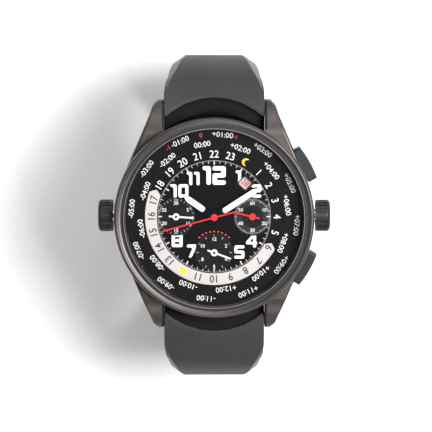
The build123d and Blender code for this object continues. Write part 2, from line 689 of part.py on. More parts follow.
with BuildPart() as third_wheel:
    third_wheel_high = THIRD_WHEEL_LOW + WHEEL_THICK
    toothed(THIRD_PITCH, THIRD_TEETH, TOOTH, THIRD_WHEEL_LOW, third_wheel_high, third_spot)
    spokes(
        THIRD_PITCH - WHEEL_RIM,
        WHEEL_HUB,
        WHEEL_ARM,
        WHEEL_ARMS,
        THIRD_WHEEL_LOW,
        third_wheel_high,
        third_spot,
    )
    toothed(PINION_PITCH, THIRD_PINION_TEETH, PINION_TOOTH, CENTRE_WHEEL_LOW, third_wheel_high, third_spot)
    disc(ARBOR, BRIDGE_LOW, PLATE_HIGH, third_spot)
finish(third_wheel, "third_wheel")

SMALL_HAND_LOW = 8.6
SMALL_HAND_HIGH = 8.8
with BuildPart() as fourth_wheel:
    fourth_wheel_high = FOURTH_WHEEL_LOW + WHEEL_THICK
    toothed(FOURTH_PITCH, FOURTH_TEETH, TOOTH, FOURTH_WHEEL_LOW, fourth_wheel_high, fourth_spot)
    spokes(
        FOURTH_PITCH - WHEEL_RIM,
        WHEEL_HUB,
        WHEEL_ARM,
        FOURTH_ARMS,
        FOURTH_WHEEL_LOW,
        fourth_wheel_high,
        fourth_spot,
    )
    fourth_pinion_high = third_wheel_high + WHEEL_THICK / 2
    toothed(
        PINION_PITCH, FOURTH_PINION_TEETH, PINION_TOOTH, FOURTH_WHEEL_LOW, fourth_pinion_high, fourth_spot
    )
    disc(ARBOR, BRIDGE_LOW, SMALL_HAND_LOW, fourth_spot)
finish(fourth_wheel, "fourth_wheel")

with BuildPart() as escape_wheel:
    escape_high = ESCAPE_LOW + WHEEL_THICK
    escape_pinion_low = FOURTH_WHEEL_LOW - SIDE_GAP
    toothed(ESCAPE_RADIUS, ESCAPE_TEETH, TOOTH, ESCAPE_LOW, escape_high, escape_spot)
    spokes(
        ESCAPE_RADIUS - WHEEL_RIM,
        WHEEL_HUB / 2,
        WHEEL_ARM / 2,
        WHEEL_ARMS,
        ESCAPE_LOW,
        escape_high,
        escape_spot,
    )
    toothed(
        ESCAPE_PINION_PITCH, ESCAPE_PINION_TEETH, PINION_TOOTH, escape_pinion_low, ESCAPE_LOW, escape_spot
    )
    disc(ARBOR, BRIDGE_LOW, PLATE_HIGH, escape_spot)
finish(escape_wheel, "escape_wheel")

with BuildPart() as barrel:
    toothed(BARREL_PITCH, BARREL_TEETH, TOOTH, BARREL_LOW, BARREL_HIGH, barrel_spot)
    disc(BARREL_PITCH - WHEEL_RIM, BARREL_DRUM_LOW, BARREL_LOW, barrel_spot)
    disc(2 * ARBOR, BRIDGE_LOW, PLATE_HIGH - JEWEL_THICK, barrel_spot)
finish(barrel, "barrel")

with BuildPart() as balance_wheel:
    ring(BALANCE_RADIUS, BALANCE_RADIUS - BALANCE_RIM, BALANCE_LOW, BALANCE_HIGH, BALANCE_SPOT)
    with BuildSketch(Plane.XY.offset(BALANCE_LOW)) as arms:
        with Locations(BALANCE_SPOT):
            with PolarLocations(0, BALANCE_ARMS):
                Rectangle(BALANCE_RADIUS - BALANCE_RIM / 2, WHEEL_ARM, align=(Align.MIN, Align.CENTER))
    extrude(arms.sketch, amount=BALANCE_HIGH - BALANCE_LOW)
    disc(WHEEL_HUB / 2, BALANCE_LOW, ESCAPE_LOW - SIDE_GAP, BALANCE_SPOT)
    disc(ARBOR, BRIDGE_LOW, PLATE_HIGH, BALANCE_SPOT)
finish(balance_wheel, "balance_wheel")

HAIRSPRING_OUTER = 2.6
HAIRSPRING_INNER = 0.9
HAIRSPRING_TURNS = 5
HAIRSPRING_BAND = 0.12
HAIRSPRING_LOW = 4.45
HAIRSPRING_HIGH = 4.6
HAIRSPRING_STEPS = 8
with BuildPart() as hairspring:
    turns = HAIRSPRING_TURNS * HAIRSPRING_STEPS
    outline = []
    for step in range(turns + 1):
        radius = HAIRSPRING_INNER + (HAIRSPRING_OUTER - HAIRSPRING_INNER) * step / turns
        place = polar(radius, 360 * step / HAIRSPRING_STEPS)
        outline.append((BALANCE_SPOT[0] + place[0], BALANCE_SPOT[1] + place[1]))
    inner = []
    for step in range(turns + 1):
        radius = HAIRSPRING_INNER + (HAIRSPRING_OUTER - HAIRSPRING_INNER) * step / turns - HAIRSPRING_BAND
        place = polar(radius, 360 * step / HAIRSPRING_STEPS)
        inner.append((BALANCE_SPOT[0] + place[0], BALANCE_SPOT[1] + place[1]))
    with BuildSketch(Plane.XY.offset(HAIRSPRING_LOW)) as band:
        with BuildLine():
            Polyline(*outline, *reversed(inner), close=True)
        make_face()
    extrude(amount=HAIRSPRING_HIGH - HAIRSPRING_LOW)
finish(hairspring, "hairspring")

FORK_TAIL = 1.4
FORK_WIDTH = 0.7
FORK_THICK = 0.25
FORK_ANCHOR = 1.9
to_balance = Vector(BALANCE_SPOT[0] - FORK_SPOT[0], BALANCE_SPOT[1] - FORK_SPOT[1], 0)
fork_reach = to_balance.length - WHEEL_HUB / 2 - FORK_TAIL / 2
with BuildPart() as pallet_fork:
    lever = Plane(
        origin=(FORK_SPOT[0], FORK_SPOT[1], ESCAPE_LOW),
        x_dir=to_balance.normalized(),
        z_dir=(0, 0, 1),
    )
    with BuildSketch(lever) as arm:
        Rectangle(fork_reach, FORK_WIDTH / 2, align=(Align.MIN, Align.CENTER))
        Rectangle(FORK_WIDTH / 2, 2 * FORK_ANCHOR)
        Circle(FORK_WIDTH)
    extrude(amount=FORK_THICK)
    disc(ARBOR, PLATE_LOW - 3 * FORK_WIDTH, PLATE_HIGH, FORK_SPOT)
finish(pallet_fork, "pallet_fork")

# Winding rotor on its bearing, just inside the window of the case back
ROTOR_LOW = 1.35
ROTOR_PLATE_HIGH = 1.75
ROTOR_WEIGHT_HIGH = 2.55
ROTOR_RADIUS = 14.2
ROTOR_WEIGHT_INNER = 11.4
ROTOR_HUB = 2.6
ROTOR_BORE = 1.3
ROTOR_SPREAD = 85.0
ROTOR_HEADING = 250.0
ROTOR_SCREW_HEAD = 1.9

with BuildPart() as rotor:
    with BuildSketch(Plane.XY.offset(ROTOR_LOW)) as sector:
        with BuildLine():
            start = polar(ROTOR_RADIUS, ROTOR_HEADING - ROTOR_SPREAD)
            end = polar(ROTOR_RADIUS, ROTOR_HEADING + ROTOR_SPREAD)
            middle = polar(ROTOR_RADIUS, ROTOR_HEADING)
            ThreePointArc(start, middle, end)
            Polyline(end, (0, 0), start)
        make_face()
        Circle(ROTOR_HUB)
        Circle(ROTOR_BORE, mode=Mode.SUBTRACT)
    extrude(amount=ROTOR_PLATE_HIGH - ROTOR_LOW)
    with BuildSketch(Plane.XY.offset(ROTOR_PLATE_HIGH)) as weight:
        with BuildLine():
            ThreePointArc(start, middle, end)
            Polyline(end, (0, 0), start)
        make_face()
        Circle(ROTOR_WEIGHT_INNER, mode=Mode.SUBTRACT)
    extrude(amount=ROTOR_WEIGHT_HIGH - ROTOR_PLATE_HIGH)
finish(rotor, "rotor")

with BuildPart() as rotor_bearing:
    ring(ROTOR_BORE - RUNNING_FIT, ARBOR_BORE, ROTOR_LOW, ROTOR_PLATE_HIGH + RUNNING_FIT)
    ring(ROTOR_HUB, ARBOR_BORE, ROTOR_PLATE_HIGH + RUNNING_FIT, BRIDGE_LOW)
finish(rotor_bearing, "rotor_bearing")

with BuildPart() as rotor_screw:
    disc(ROTOR_SCREW_HEAD, ROTOR_LOW - 3 * SIDE_GAP / 2, ROTOR_LOW - RUNNING_FIT)
    disc(ARBOR, ROTOR_LOW - RUNNING_FIT, BRIDGE_LOW - SIDE_GAP)
finish(rotor_screw, "rotor_screw")

# Motion works between the main plate and the dial
CANNON_LOW = 6.62
MINUTE_WHEEL_LOW = 6.65
MINUTE_WHEEL_HIGH = 6.85
HOUR_WHEEL_LOW = 6.95
HOUR_WHEEL_HIGH = 7.2
MOTION_TEETH_SUM = 48
CANNON_TEETH = 12
MINUTE_TEETH = 36
MINUTE_PINION_TEETH = 10
HOUR_TEETH = 40
IDLER_TEETH = 20
RING_TEETH = 80
MOTION_TOOTH = 0.5
CANNON_INNER = 0.55
CANNON_OUTER = 0.85
HOUR_PIPE_INNER = 0.9
HOUR_PIPE_OUTER = 1.2
HOUR_HAND_LOW = 8.95
HOUR_HAND_HIGH = 9.15
MINUTE_HAND_LOW = 9.4
MINUTE_HAND_HIGH = 9.6
SECONDS_HAND_LOW = 9.85
SECONDS_HAND_HIGH = 10.0
POST_GAP = 0.03

cannon_pitch = MINUTE_WHEEL_DISTANCE * CANNON_TEETH / MOTION_TEETH_SUM
minute_pitch = MINUTE_WHEEL_DISTANCE * MINUTE_TEETH / MOTION_TEETH_SUM
minute_pinion_pitch = MINUTE_WHEEL_DISTANCE - HOUR_WHEEL_PITCH
idler_pitch = IDLER_DISTANCE - HOUR_WHEEL_PITCH
ring_gear_pitch = IDLER_DISTANCE + idler_pitch

with BuildPart() as cannon_pinion:
    toothed(cannon_pitch, CANNON_TEETH, MOTION_TOOTH, CANNON_LOW, MINUTE_WHEEL_HIGH + POST_GAP)
    disc(CANNON_OUTER, CANNON_LOW, MINUTE_HAND_LOW)
    disc(CANNON_INNER, CANNON_LOW, MINUTE_HAND_LOW, mode=Mode.SUBTRACT)
finish(cannon_pinion, "cannon_pinion")

with BuildPart() as minute_wheel:
    toothed(minute_pitch, MINUTE_TEETH, MOTION_TOOTH, MINUTE_WHEEL_LOW, MINUTE_WHEEL_HIGH, minute_wheel_spot)
    toothed(
        minute_pinion_pitch,
        MINUTE_PINION_TEETH,
        MOTION_TOOTH,
        MINUTE_WHEEL_HIGH,
        HOUR_WHEEL_HIGH,
        minute_wheel_spot,
    )
    disc(2 * ARBOR + POST_GAP, MINUTE_WHEEL_LOW, HOUR_WHEEL_HIGH, minute_wheel_spot, Mode.SUBTRACT)
finish(minute_wheel, "minute_wheel")

with BuildPart() as hour_wheel:
    toothed(HOUR_WHEEL_PITCH, HOUR_TEETH, MOTION_TOOTH, HOUR_WHEEL_LOW, HOUR_WHEEL_HIGH)
    disc(HOUR_PIPE_OUTER, HOUR_WHEEL_LOW, HOUR_HAND_LOW)
    disc(HOUR_PIPE_INNER, HOUR_WHEEL_LOW, HOUR_HAND_LOW, mode=Mode.SUBTRACT)
finish(hour_wheel, "hour_wheel")

with BuildPart() as ring_idler:
    toothed(idler_pitch, IDLER_TEETH, MOTION_TOOTH, HOUR_WHEEL_LOW, HOUR_WHEEL_HIGH, idler_spot)
    disc(2 * ARBOR + POST_GAP, HOUR_WHEEL_LOW, HOUR_WHEEL_HIGH, idler_spot, Mode.SUBTRACT)
finish(ring_idler, "ring_idler")

# Rotating 24 hour ring with the day and night band
DAY_RING_INNER = 12.35
DAY_RING_OUTER = 15.12
DAY_RING_LOW = 8.0
DAY_RING_HIGH = 8.4
DAY_SKIRT_OUTER = 14.6
DAY_SKIRT_INNER = 13.5
with BuildPart() as day_night_ring:
    ring(DAY_RING_OUTER, DAY_RING_INNER, DAY_RING_LOW, DAY_RING_HIGH)
    ring(DAY_SKIRT_OUTER, DAY_SKIRT_INNER, HOUR_WHEEL_LOW, DAY_RING_LOW)
    disc(DAY_SKIRT_OUTER, HOUR_WHEEL_LOW, HOUR_WHEEL_HIGH)
    toothed(
        ring_gear_pitch + MOTION_TOOTH * (1 - TIP_SHARE),
        RING_TEETH,
        MOTION_TOOTH,
        HOUR_WHEEL_LOW,
        HOUR_WHEEL_HIGH,
        mode=Mode.SUBTRACT,
    )
finish(day_night_ring, "day_night_ring")

# Outer ring with the time zones, turned by the crown at 9 o'clock
ZONE_RING_INNER = 15.2
ZONE_RING_OUTER = 19.7
ZONE_RING_LOW = 8.2
ZONE_RING_HIGH = 8.85
ZONE_RIM_INNER = 18.7
ZONE_TOOTH_OUTER = 18.0
ZONE_TOOTH_INNER = 16.8
ZONE_TOOTH_LOW = 7.42
ZONE_TEETH = 96
ZONE_TOOTH_WIDTH = 0.5
with BuildPart() as zone_ring:
    ring(ZONE_RING_OUTER, ZONE_RING_INNER, ZONE_RING_LOW, ZONE_RING_HIGH)
    ring(ZONE_RING_OUTER, ZONE_RIM_INNER, UPPER_BORE_FLOOR + SEAT_GAP, ZONE_RING_LOW)
    with BuildSketch(Plane.XY.offset(ZONE_TOOTH_LOW)) as teeth:
        with PolarLocations(ZONE_TOOTH_INNER, ZONE_TEETH, start_angle=360 / ZONE_TEETH / 2):
            Rectangle(
                ZONE_TOOTH_OUTER - ZONE_TOOTH_INNER, ZONE_TOOTH_WIDTH, align=(Align.MIN, Align.CENTER)
            )
    extrude(amount=ZONE_RING_LOW - ZONE_TOOTH_LOW)
finish(zone_ring, "zone_ring")

# Date disc under the dial
DATE_DISC_INNER = 8.75
DATE_DISC_OUTER = 11.3
DATE_DISC_LOW = 7.35
DATE_DISC_HIGH = 7.55
DATE_WINDOW_RADIUS = 9.95
DATE_WINDOW_ANGLE = 47.0
DATE_WINDOW_LENGTH = 2.2
DATE_WINDOW_WIDTH = 2.4
DATE_WINDOW_ROUND = 0.4
with BuildPart() as date_disc:
    ring(DATE_DISC_OUTER, DATE_DISC_INNER, DATE_DISC_LOW, DATE_DISC_HIGH)
finish(date_disc, "date_disc")

# Dial with its sub-dials and the window of the date
DIAL_RADIUS = 12.28
SUBDIAL_RADIUS = 4.0
SUBDIAL_SUNK = 0.12
DIAL_CENTRE_BORE = 1.3
DIAL_ARBOR_BORE = 0.4
DIAL_FOOT = 0.5
DIAL_FEET_RADIUS = 12.0
DIAL_FEET_ANGLES = (20.0, 335.0, 165.0)
date_window = Plane(
    origin=(
        DATE_WINDOW_RADIUS * cos(radians(DATE_WINDOW_ANGLE)),
        DATE_WINDOW_RADIUS * sin(radians(DATE_WINDOW_ANGLE)),
        DIAL_LOW,
    ),
    x_dir=(cos(radians(DATE_WINDOW_ANGLE)), sin(radians(DATE_WINDOW_ANGLE)), 0),
    z_dir=(0, 0, 1),
)
with BuildPart() as dial:
    disc(DIAL_RADIUS, DIAL_LOW, DIAL_HIGH)
    for spot in (minutes_spot, fourth_spot, hours_spot):
        disc(SUBDIAL_RADIUS, DIAL_HIGH - SUBDIAL_SUNK, DIAL_HIGH, spot, Mode.SUBTRACT)
        disc(DIAL_ARBOR_BORE, DIAL_LOW, DIAL_HIGH, spot, Mode.SUBTRACT)
    disc(DIAL_CENTRE_BORE, DIAL_LOW, DIAL_HIGH, mode=Mode.SUBTRACT)
    with BuildSketch(date_window) as opening:
        RectangleRounded(DATE_WINDOW_LENGTH, DATE_WINDOW_WIDTH, DATE_WINDOW_ROUND)
    extrude(amount=DIAL_HIGH - DIAL_LOW, mode=Mode.SUBTRACT)
    for angle in DIAL_FEET_ANGLES:
        disc(DIAL_FOOT, PLATE_HIGH, DIAL_LOW, polar(DIAL_FEET_RADIUS, angle))
finish(dial, "dial")

with BuildPart() as date_lens:
    with BuildSketch(date_window) as pane:
        RectangleRounded(
            DATE_WINDOW_LENGTH - SEAT_GAP, DATE_WINDOW_WIDTH - SEAT_GAP, DATE_WINDOW_ROUND
        )
    extrude(amount=DIAL_HIGH - DIAL_LOW)
finish(date_lens, "date_lens")


def hand_body(at, heading, sizes, low, high, point=0):
    """Adds a hand that points along a clock angle; sizes are its reach, tail, width and hub."""
    reach, tail, width, hub = sizes
    way = Plane(
        origin=(at[0], at[1], low),
        x_dir=(sin(radians(heading)), cos(radians(heading)), 0),
        z_dir=(0, 0, 1),
    )
    tip = [(reach - point, -width / 2), (reach, 0), (reach - point, width / 2)]
    if not point:
        tip = [(reach, -width / 2), (reach, width / 2)]
    with BuildSketch(way) as outline:
        with BuildLine():
            Polyline((-tail, -width / 2), *tip, (-tail, width / 2), close=True)
        make_face()
        Circle(hub)
    extrude(outline.sketch, amount=high - low)


# Hands as they stand in the photograph, at clock angles from 12
HOUR_ANGLE = 304.8
MINUTE_ANGLE = 57.0
SECONDS_ANGLE = 255.0
SMALL_SECONDS_ANGLE = 283.7
MINUTES_ANGLE = 94.0
HOURS_ANGLE = 110.4
HOUR_REACH = 8.0
HOUR_WIDTH = 1.45
HOUR_POINT = 0.9
HOUR_HUB = 1.7
MINUTE_REACH = 11.5
MINUTE_WIDTH = 1.4
MINUTE_POINT = 0.9
MINUTE_HUB = 1.4
HAND_TAIL = 1.0
SECONDS_REACH = 11.8
SECONDS_TAIL = 4.7
SECONDS_WIDTH = 0.32
SECONDS_HUB = 0.75
SMALL_REACH = 3.85
SMALL_TAIL = 1.55
SMALL_WIDTH = 0.36
SMALL_HUB = 0.75
hour_sizes = (HOUR_REACH, HAND_TAIL, HOUR_WIDTH, HOUR_HUB)
minute_sizes = (MINUTE_REACH, HAND_TAIL, MINUTE_WIDTH, MINUTE_HUB)
seconds_sizes = (SECONDS_REACH, SECONDS_TAIL, SECONDS_WIDTH, SECONDS_HUB)
small_sizes = (SMALL_REACH, SMALL_TAIL, SMALL_WIDTH, SMALL_HUB)

with BuildPart() as hour_hand:
    hand_body((0, 0), HOUR_ANGLE, hour_sizes, HOUR_HAND_LOW, HOUR_HAND_HIGH, HOUR_POINT)
    disc(CANNON_OUTER + SEAT_GAP, HOUR_HAND_LOW, HOUR_HAND_HIGH, mode=Mode.SUBTRACT)
finish(hour_hand, "hour_hand")

with BuildPart() as minute_hand:
    hand_body((0, 0), MINUTE_ANGLE, minute_sizes, MINUTE_HAND_LOW, MINUTE_HAND_HIGH, MINUTE_POINT)
    disc(CANNON_INNER, MINUTE_HAND_LOW, MINUTE_HAND_HIGH, mode=Mode.SUBTRACT)
finish(minute_hand, "minute_hand")

with BuildPart() as chrono_seconds_hand:
    hand_body((0, 0), SECONDS_ANGLE, seconds_sizes, SECONDS_HAND_LOW, SECONDS_HAND_HIGH)
    disc(ARBOR, BRIDGE_HIGH, SECONDS_HAND_LOW)
finish(chrono_seconds_hand, "chrono_seconds_hand")

with BuildPart() as small_seconds_hand:
    hand_body(fourth_spot, SMALL_SECONDS_ANGLE, small_sizes, SMALL_HAND_LOW, SMALL_HAND_HIGH)
finish(small_seconds_hand, "small_seconds_hand")

with BuildPart() as minute_counter_hand:
    hand_body(minutes_spot, MINUTES_ANGLE, small_sizes, SMALL_HAND_LOW, SMALL_HAND_HIGH)
    disc(COUNTER_ARBOR, PLATE_LOW, SMALL_HAND_LOW, minutes_spot)
finish(minute_counter_hand, "minute_counter_hand")

with BuildPart() as hour_counter_hand:
    hand_body(hours_spot, HOURS_ANGLE, small_sizes, SMALL_HAND_LOW, SMALL_HAND_HIGH)
    disc(COUNTER_ARBOR, PLATE_LOW, SMALL_HAND_LOW, hours_spot)
finish(hour_counter_hand, "hour_counter_hand")

# Strap: two rubber halves that swing on the spring bars and hang down to the clasp
STRAP_HALF_AT_LUG = 10.95
STRAP_HALF_AT_CLASP = 9.0
STRAP_TOP = 6.3
STRAP_UNDER = 0.6
STRAP_TAPER_TOP = 4.0
STRAP_TAPER_LOW = -34.0
CLASP_LOW = -50.0
UPPER_SIGN = 1
LOWER_SIGN = -1

# Outlines of the halves, seen from the side, as (distance from the watch axis, height)
UPPER_OUTSIDE = [(25.6, 5.0), (31.2, -0.5), (33.5, -11.0), (32.2, -24.0), (26.5, -37.0), (14.6, -47.4)]
UPPER_INSIDE = [(25.4, 0.3), (28.4, -4.6), (29.9, -12.5), (28.8, -23.5), (23.6, -34.6), (13.4, -44.2)]
LOWER_OUTSIDE = [(27.6, 5.1), (34.8, -0.5), (38.9, -12.5), (37.8, -25.0), (31.6, -38.0), (20.0, -46.6)]
LOWER_INSIDE = [(27.0, 0.5), (31.9, -4.4), (35.2, -13.5), (34.3, -24.2), (28.9, -35.4), (18.6, -43.5)]
STRAP_START = 21.2
STRAP_EYE = 2.1
SCALLOP_REACH = 25.7
SCALLOP_RADIUS = 15.45


def strap_half(sign, outside, inside):
    """Adds one half of the strap: a swept side outline, tapered and bevelled."""
    with BuildSketch(Plane.YZ) as side:
        with BuildLine():
            Polyline((sign * STRAP_START, STRAP_UNDER), (sign * STRAP_START, STRAP_TOP))
            Spline((sign * STRAP_START, STRAP_TOP), *[(sign * y, z) for y, z in outside])
            Polyline((sign * outside[-1][0], outside[-1][1]), (sign * inside[-1][0], inside[-1][1]))
            Spline(*[(sign * y, z) for y, z in reversed(inside)], (sign * STRAP_START, STRAP_UNDER))
        make_face()
    extrude(side.sketch, amount=STRAP_HALF_AT_LUG, both=True)
    with BuildSketch(Plane.XZ) as front:
        with BuildLine():
            Polyline(
                (-STRAP_HALF_AT_LUG, STRAP_TOP + OVERRUN),
                (-STRAP_HALF_AT_LUG, STRAP_TAPER_TOP),
                (-STRAP_HALF_AT_CLASP, STRAP_TAPER_LOW),
                (-STRAP_HALF_AT_CLASP, CLASP_LOW),
                (STRAP_HALF_AT_CLASP, CLASP_LOW),
                (STRAP_HALF_AT_CLASP, STRAP_TAPER_LOW),
                (STRAP_HALF_AT_LUG, STRAP_TAPER_TOP),
                (STRAP_HALF_AT_LUG, STRAP_TOP + OVERRUN),
                close=True,
            )
        make_face()
    extrude(front.sketch, amount=2 * LUG_REACH, both=True, mode=Mode.INTERSECT)
    eye_top = BAR_HEIGHT + STRAP_EYE
    scallop_spot = (0, sign * (SCALLOP_REACH - SCALLOP_RADIUS))
    disc(SCALLOP_RADIUS, eye_top, STRAP_TOP + OVERRUN, scallop_spot, Mode.SUBTRACT)
    with BuildSketch(Plane.XY.offset(STRAP_UNDER - OVERRUN)) as before_bar:
        with Locations((0, sign * (BAR_REACH - OVERRUN))):
            Rectangle(2 * LUG_TIP_HALF_INNER, 2 * OVERRUN)
    extrude(before_bar.sketch, amount=eye_top - STRAP_UNDER + OVERRUN, mode=Mode.SUBTRACT)
    cross_pin((sign * BAR_REACH, BAR_HEIGHT), STRAP_EYE, STRAP_HALF_AT_LUG)
    cross_pin((sign * BAR_REACH, BAR_HEIGHT), BAR_RADIUS + RUNNING_FIT, STRAP_HALF_AT_LUG, Mode.SUBTRACT)


# Places of the clasp's pivots, as (y, height)
UPPER_END_SPOT = (12.6, -45.9)
LOWER_END_SPOT = (-17.6, -45.0)
FOLD_FAR_SPOT = (8.6, -47.5)
FOLD_NEAR_SPOT = (-14.4, -48.0)
END_BAR_RADIUS = 0.6
PIN_RADIUS = 0.4
KNUCKLE = 0.85
BLADE_THICK = 0.8
COVER_THICK = 1.0
COVER_HALF = 10.0
COVER_WALL = 0.85
COVER_WALL_TOP = -47.6
COVER_FRONT = 14.4
COVER_REAR = -15.2
COVER_EAR_HALF = 1.7
EAR_WIDTH = 1.0
MIDDLE_HALF = 5.6
BASE_HALF = 8.9
BASE_HIGH = -45.7
STRAP_END_CLEAR = 1.6

with BuildPart() as strap_upper:
    strap_half(UPPER_SIGN, UPPER_OUTSIDE, UPPER_INSIDE)
    cross_pin(UPPER_END_SPOT, STRAP_END_CLEAR, STRAP_HALF_AT_CLASP)
    cross_pin(UPPER_END_SPOT, END_BAR_RADIUS + RUNNING_FIT, STRAP_HALF_AT_CLASP, Mode.SUBTRACT)
finish(strap_upper, "strap_upper")

with BuildPart() as strap_lower:
    strap_half(LOWER_SIGN, LOWER_OUTSIDE, LOWER_INSIDE)
    cross_pin(LOWER_END_SPOT, STRAP_END_CLEAR, STRAP_HALF_AT_CLASP)
    cross_pin(LOWER_END_SPOT, END_BAR_RADIUS + RUNNING_FIT, STRAP_HALF_AT_CLASP, Mode.SUBTRACT)
finish(strap_lower, "strap_lower")


def side_slab(y_low, y_high, z_low, z_high, x_inner, x_outer):
    """Adds the same upright slab on both sides of the clasp."""
    for hand in (1, -1):
        with BuildSketch(Plane.YZ.offset(hand * x_inner)) as section:
            with BuildLine():
                Polyline((y_low, z_low), (y_high, z_low), (y_high, z_high), (y_low, z_high), close=True)
            make_face()
        extrude(section.sketch, amount=hand * (x_outer - x_inner))


with BuildPart() as upper_end_bar:
    cross_pin(UPPER_END_SPOT, END_BAR_RADIUS, COVER_HALF)
finish(upper_end_bar, "upper_end_bar")

with BuildPart() as lower_end_bar:
    cross_pin(LOWER_END_SPOT, END_BAR_RADIUS, COVER_HALF)
finish(lower_end_bar, "lower_end_bar")

with BuildPart() as clasp_cover:
    with BuildSketch(Plane.XY.offset(CLASP_LOW)) as plate:
        with BuildLine():
            Polyline(
                (-COVER_HALF, COVER_REAR),
                (COVER_HALF, COVER_REAR),
                (COVER_HALF, COVER_FRONT),
                (-COVER_HALF, COVER_FRONT),
                close=True,
            )
        make_face()
        fillet(plate.vertices(), radius=COVER_THICK)
    extrude(amount=COVER_THICK)
    wall_start = CLASP_LOW + COVER_THICK / 2
    side_slab(
        COVER_REAR + COVER_THICK,
        COVER_FRONT - COVER_THICK,
        wall_start,
        COVER_WALL_TOP,
        COVER_HALF - COVER_WALL,
        COVER_HALF,
    )
    side_slab(
        UPPER_END_SPOT[0] - COVER_EAR_HALF,
        UPPER_END_SPOT[0] + COVER_EAR_HALF / 2,
        wall_start,
        UPPER_END_SPOT[1] + COVER_EAR_HALF,
        COVER_HALF - COVER_WALL,
        COVER_HALF,
    )
    side_slab(
        FOLD_NEAR_SPOT[0] - KNUCKLE,
        FOLD_NEAR_SPOT[0] + KNUCKLE,
        wall_start,
        FOLD_NEAR_SPOT[1] + KNUCKLE,
        MIDDLE_HALF + SIDE_GAP,
        MIDDLE_HALF + SIDE_GAP + EAR_WIDTH,
    )
    cross_pin(UPPER_END_SPOT, END_BAR_RADIUS, COVER_HALF, Mode.SUBTRACT)
    cross_pin(FOLD_NEAR_SPOT, PIN_RADIUS, MIDDLE_HALF + SIDE_GAP + EAR_WIDTH, Mode.SUBTRACT)
finish(clasp_cover, "clasp_cover")

with BuildPart() as clasp_middle_blade:
    with BuildSketch(Plane.YZ) as section:
        with BuildLine():
            Polyline(
                (FOLD_NEAR_SPOT[0], FOLD_NEAR_SPOT[1] - BLADE_THICK / 2),
                (FOLD_FAR_SPOT[0] - 2 * KNUCKLE, FOLD_NEAR_SPOT[1] - BLADE_THICK / 2),
                (FOLD_FAR_SPOT[0], FOLD_FAR_SPOT[1] - BLADE_THICK / 2),
                (FOLD_FAR_SPOT[0], FOLD_FAR_SPOT[1] + BLADE_THICK / 2),
                (FOLD_FAR_SPOT[0] - 2 * KNUCKLE, FOLD_NEAR_SPOT[1] + BLADE_THICK / 2),
                (FOLD_NEAR_SPOT[0], FOLD_NEAR_SPOT[1] + BLADE_THICK / 2),
                close=True,
            )
        make_face()
        with Locations(FOLD_NEAR_SPOT, FOLD_FAR_SPOT):
            Circle(KNUCKLE)
            Circle(PIN_RADIUS + RUNNING_FIT, mode=Mode.SUBTRACT)
    extrude(amount=MIDDLE_HALF, both=True)
finish(clasp_middle_blade, "clasp_middle_blade")

with BuildPart() as clasp_near_pin:
    cross_pin(FOLD_NEAR_SPOT, PIN_RADIUS, MIDDLE_HALF + SIDE_GAP + EAR_WIDTH)
finish(clasp_near_pin, "clasp_near_pin")

with BuildPart() as clasp_far_pin:
    cross_pin(FOLD_FAR_SPOT, PIN_RADIUS, MIDDLE_HALF + SIDE_GAP + EAR_WIDTH)
finish(clasp_far_pin, "clasp_far_pin")

with BuildPart() as clasp_base_blade:
    with BuildSketch(Plane.YZ) as section:
        with BuildLine():
            Polyline(
                (FOLD_FAR_SPOT[0] + KNUCKLE, BASE_HIGH - BLADE_THICK),
                (FOLD_FAR_SPOT[0] + KNUCKLE, BASE_HIGH),
                (LOWER_END_SPOT[0] + STRAP_END_CLEAR + END_BAR_RADIUS, BASE_HIGH),
                (LOWER_END_SPOT[0] + STRAP_END_CLEAR + END_BAR_RADIUS, BASE_HIGH - BLADE_THICK),
                close=True,
            )
        make_face()
    extrude(amount=BASE_HALF, both=True)
    side_slab(
        FOLD_FAR_SPOT[0] - KNUCKLE,
        FOLD_FAR_SPOT[0] + KNUCKLE,
        FOLD_FAR_SPOT[1] - KNUCKLE,
        BASE_HIGH - BLADE_THICK / 2,
        MIDDLE_HALF + SIDE_GAP,
        MIDDLE_HALF + SIDE_GAP + EAR_WIDTH,
    )
    side_slab(
        LOWER_END_SPOT[0],
        LOWER_END_SPOT[0] + 2 * STRAP_END_CLEAR,
        LOWER_END_SPOT[1] - COVER_EAR_HALF,
        LOWER_END_SPOT[1] + COVER_EAR_HALF / 2,
        STRAP_HALF_AT_CLASP + SIDE_GAP,
        COVER_HALF,
    )
    side_slab(
        LOWER_END_SPOT[0] + STRAP_END_CLEAR + END_BAR_RADIUS,
        LOWER_END_SPOT[0] + 2 * STRAP_END_CLEAR,
        BASE_HIGH - BLADE_THICK,
        BASE_HIGH,
        BASE_HALF / 2,
        COVER_HALF,
    )
    cross_pin(LOWER_END_SPOT, END_BAR_RADIUS + SIDE_GAP, COVER_HALF, Mode.SUBTRACT)
    cross_pin(FOLD_FAR_SPOT, PIN_RADIUS, MIDDLE_HALF + SIDE_GAP + EAR_WIDTH, Mode.SUBTRACT)
finish(clasp_base_blade, "clasp_base_blade")
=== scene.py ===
"""Looks of a world time watch: finishes, printing, lume, strap, light and camera.

Where nothing else is said, lengths are in millimetres and angles in degrees, and angles on the dial run
clockwise from 12. A finish's depths, and the pitch of the striped plate, are in metres.
"""

import logging
from dataclasses import dataclass
from enum import Enum
from math import asin, atan2, cos, hypot, pi, radians, sin, sqrt, tan

import bmesh
import bpy
from mathutils import Matrix, Vector


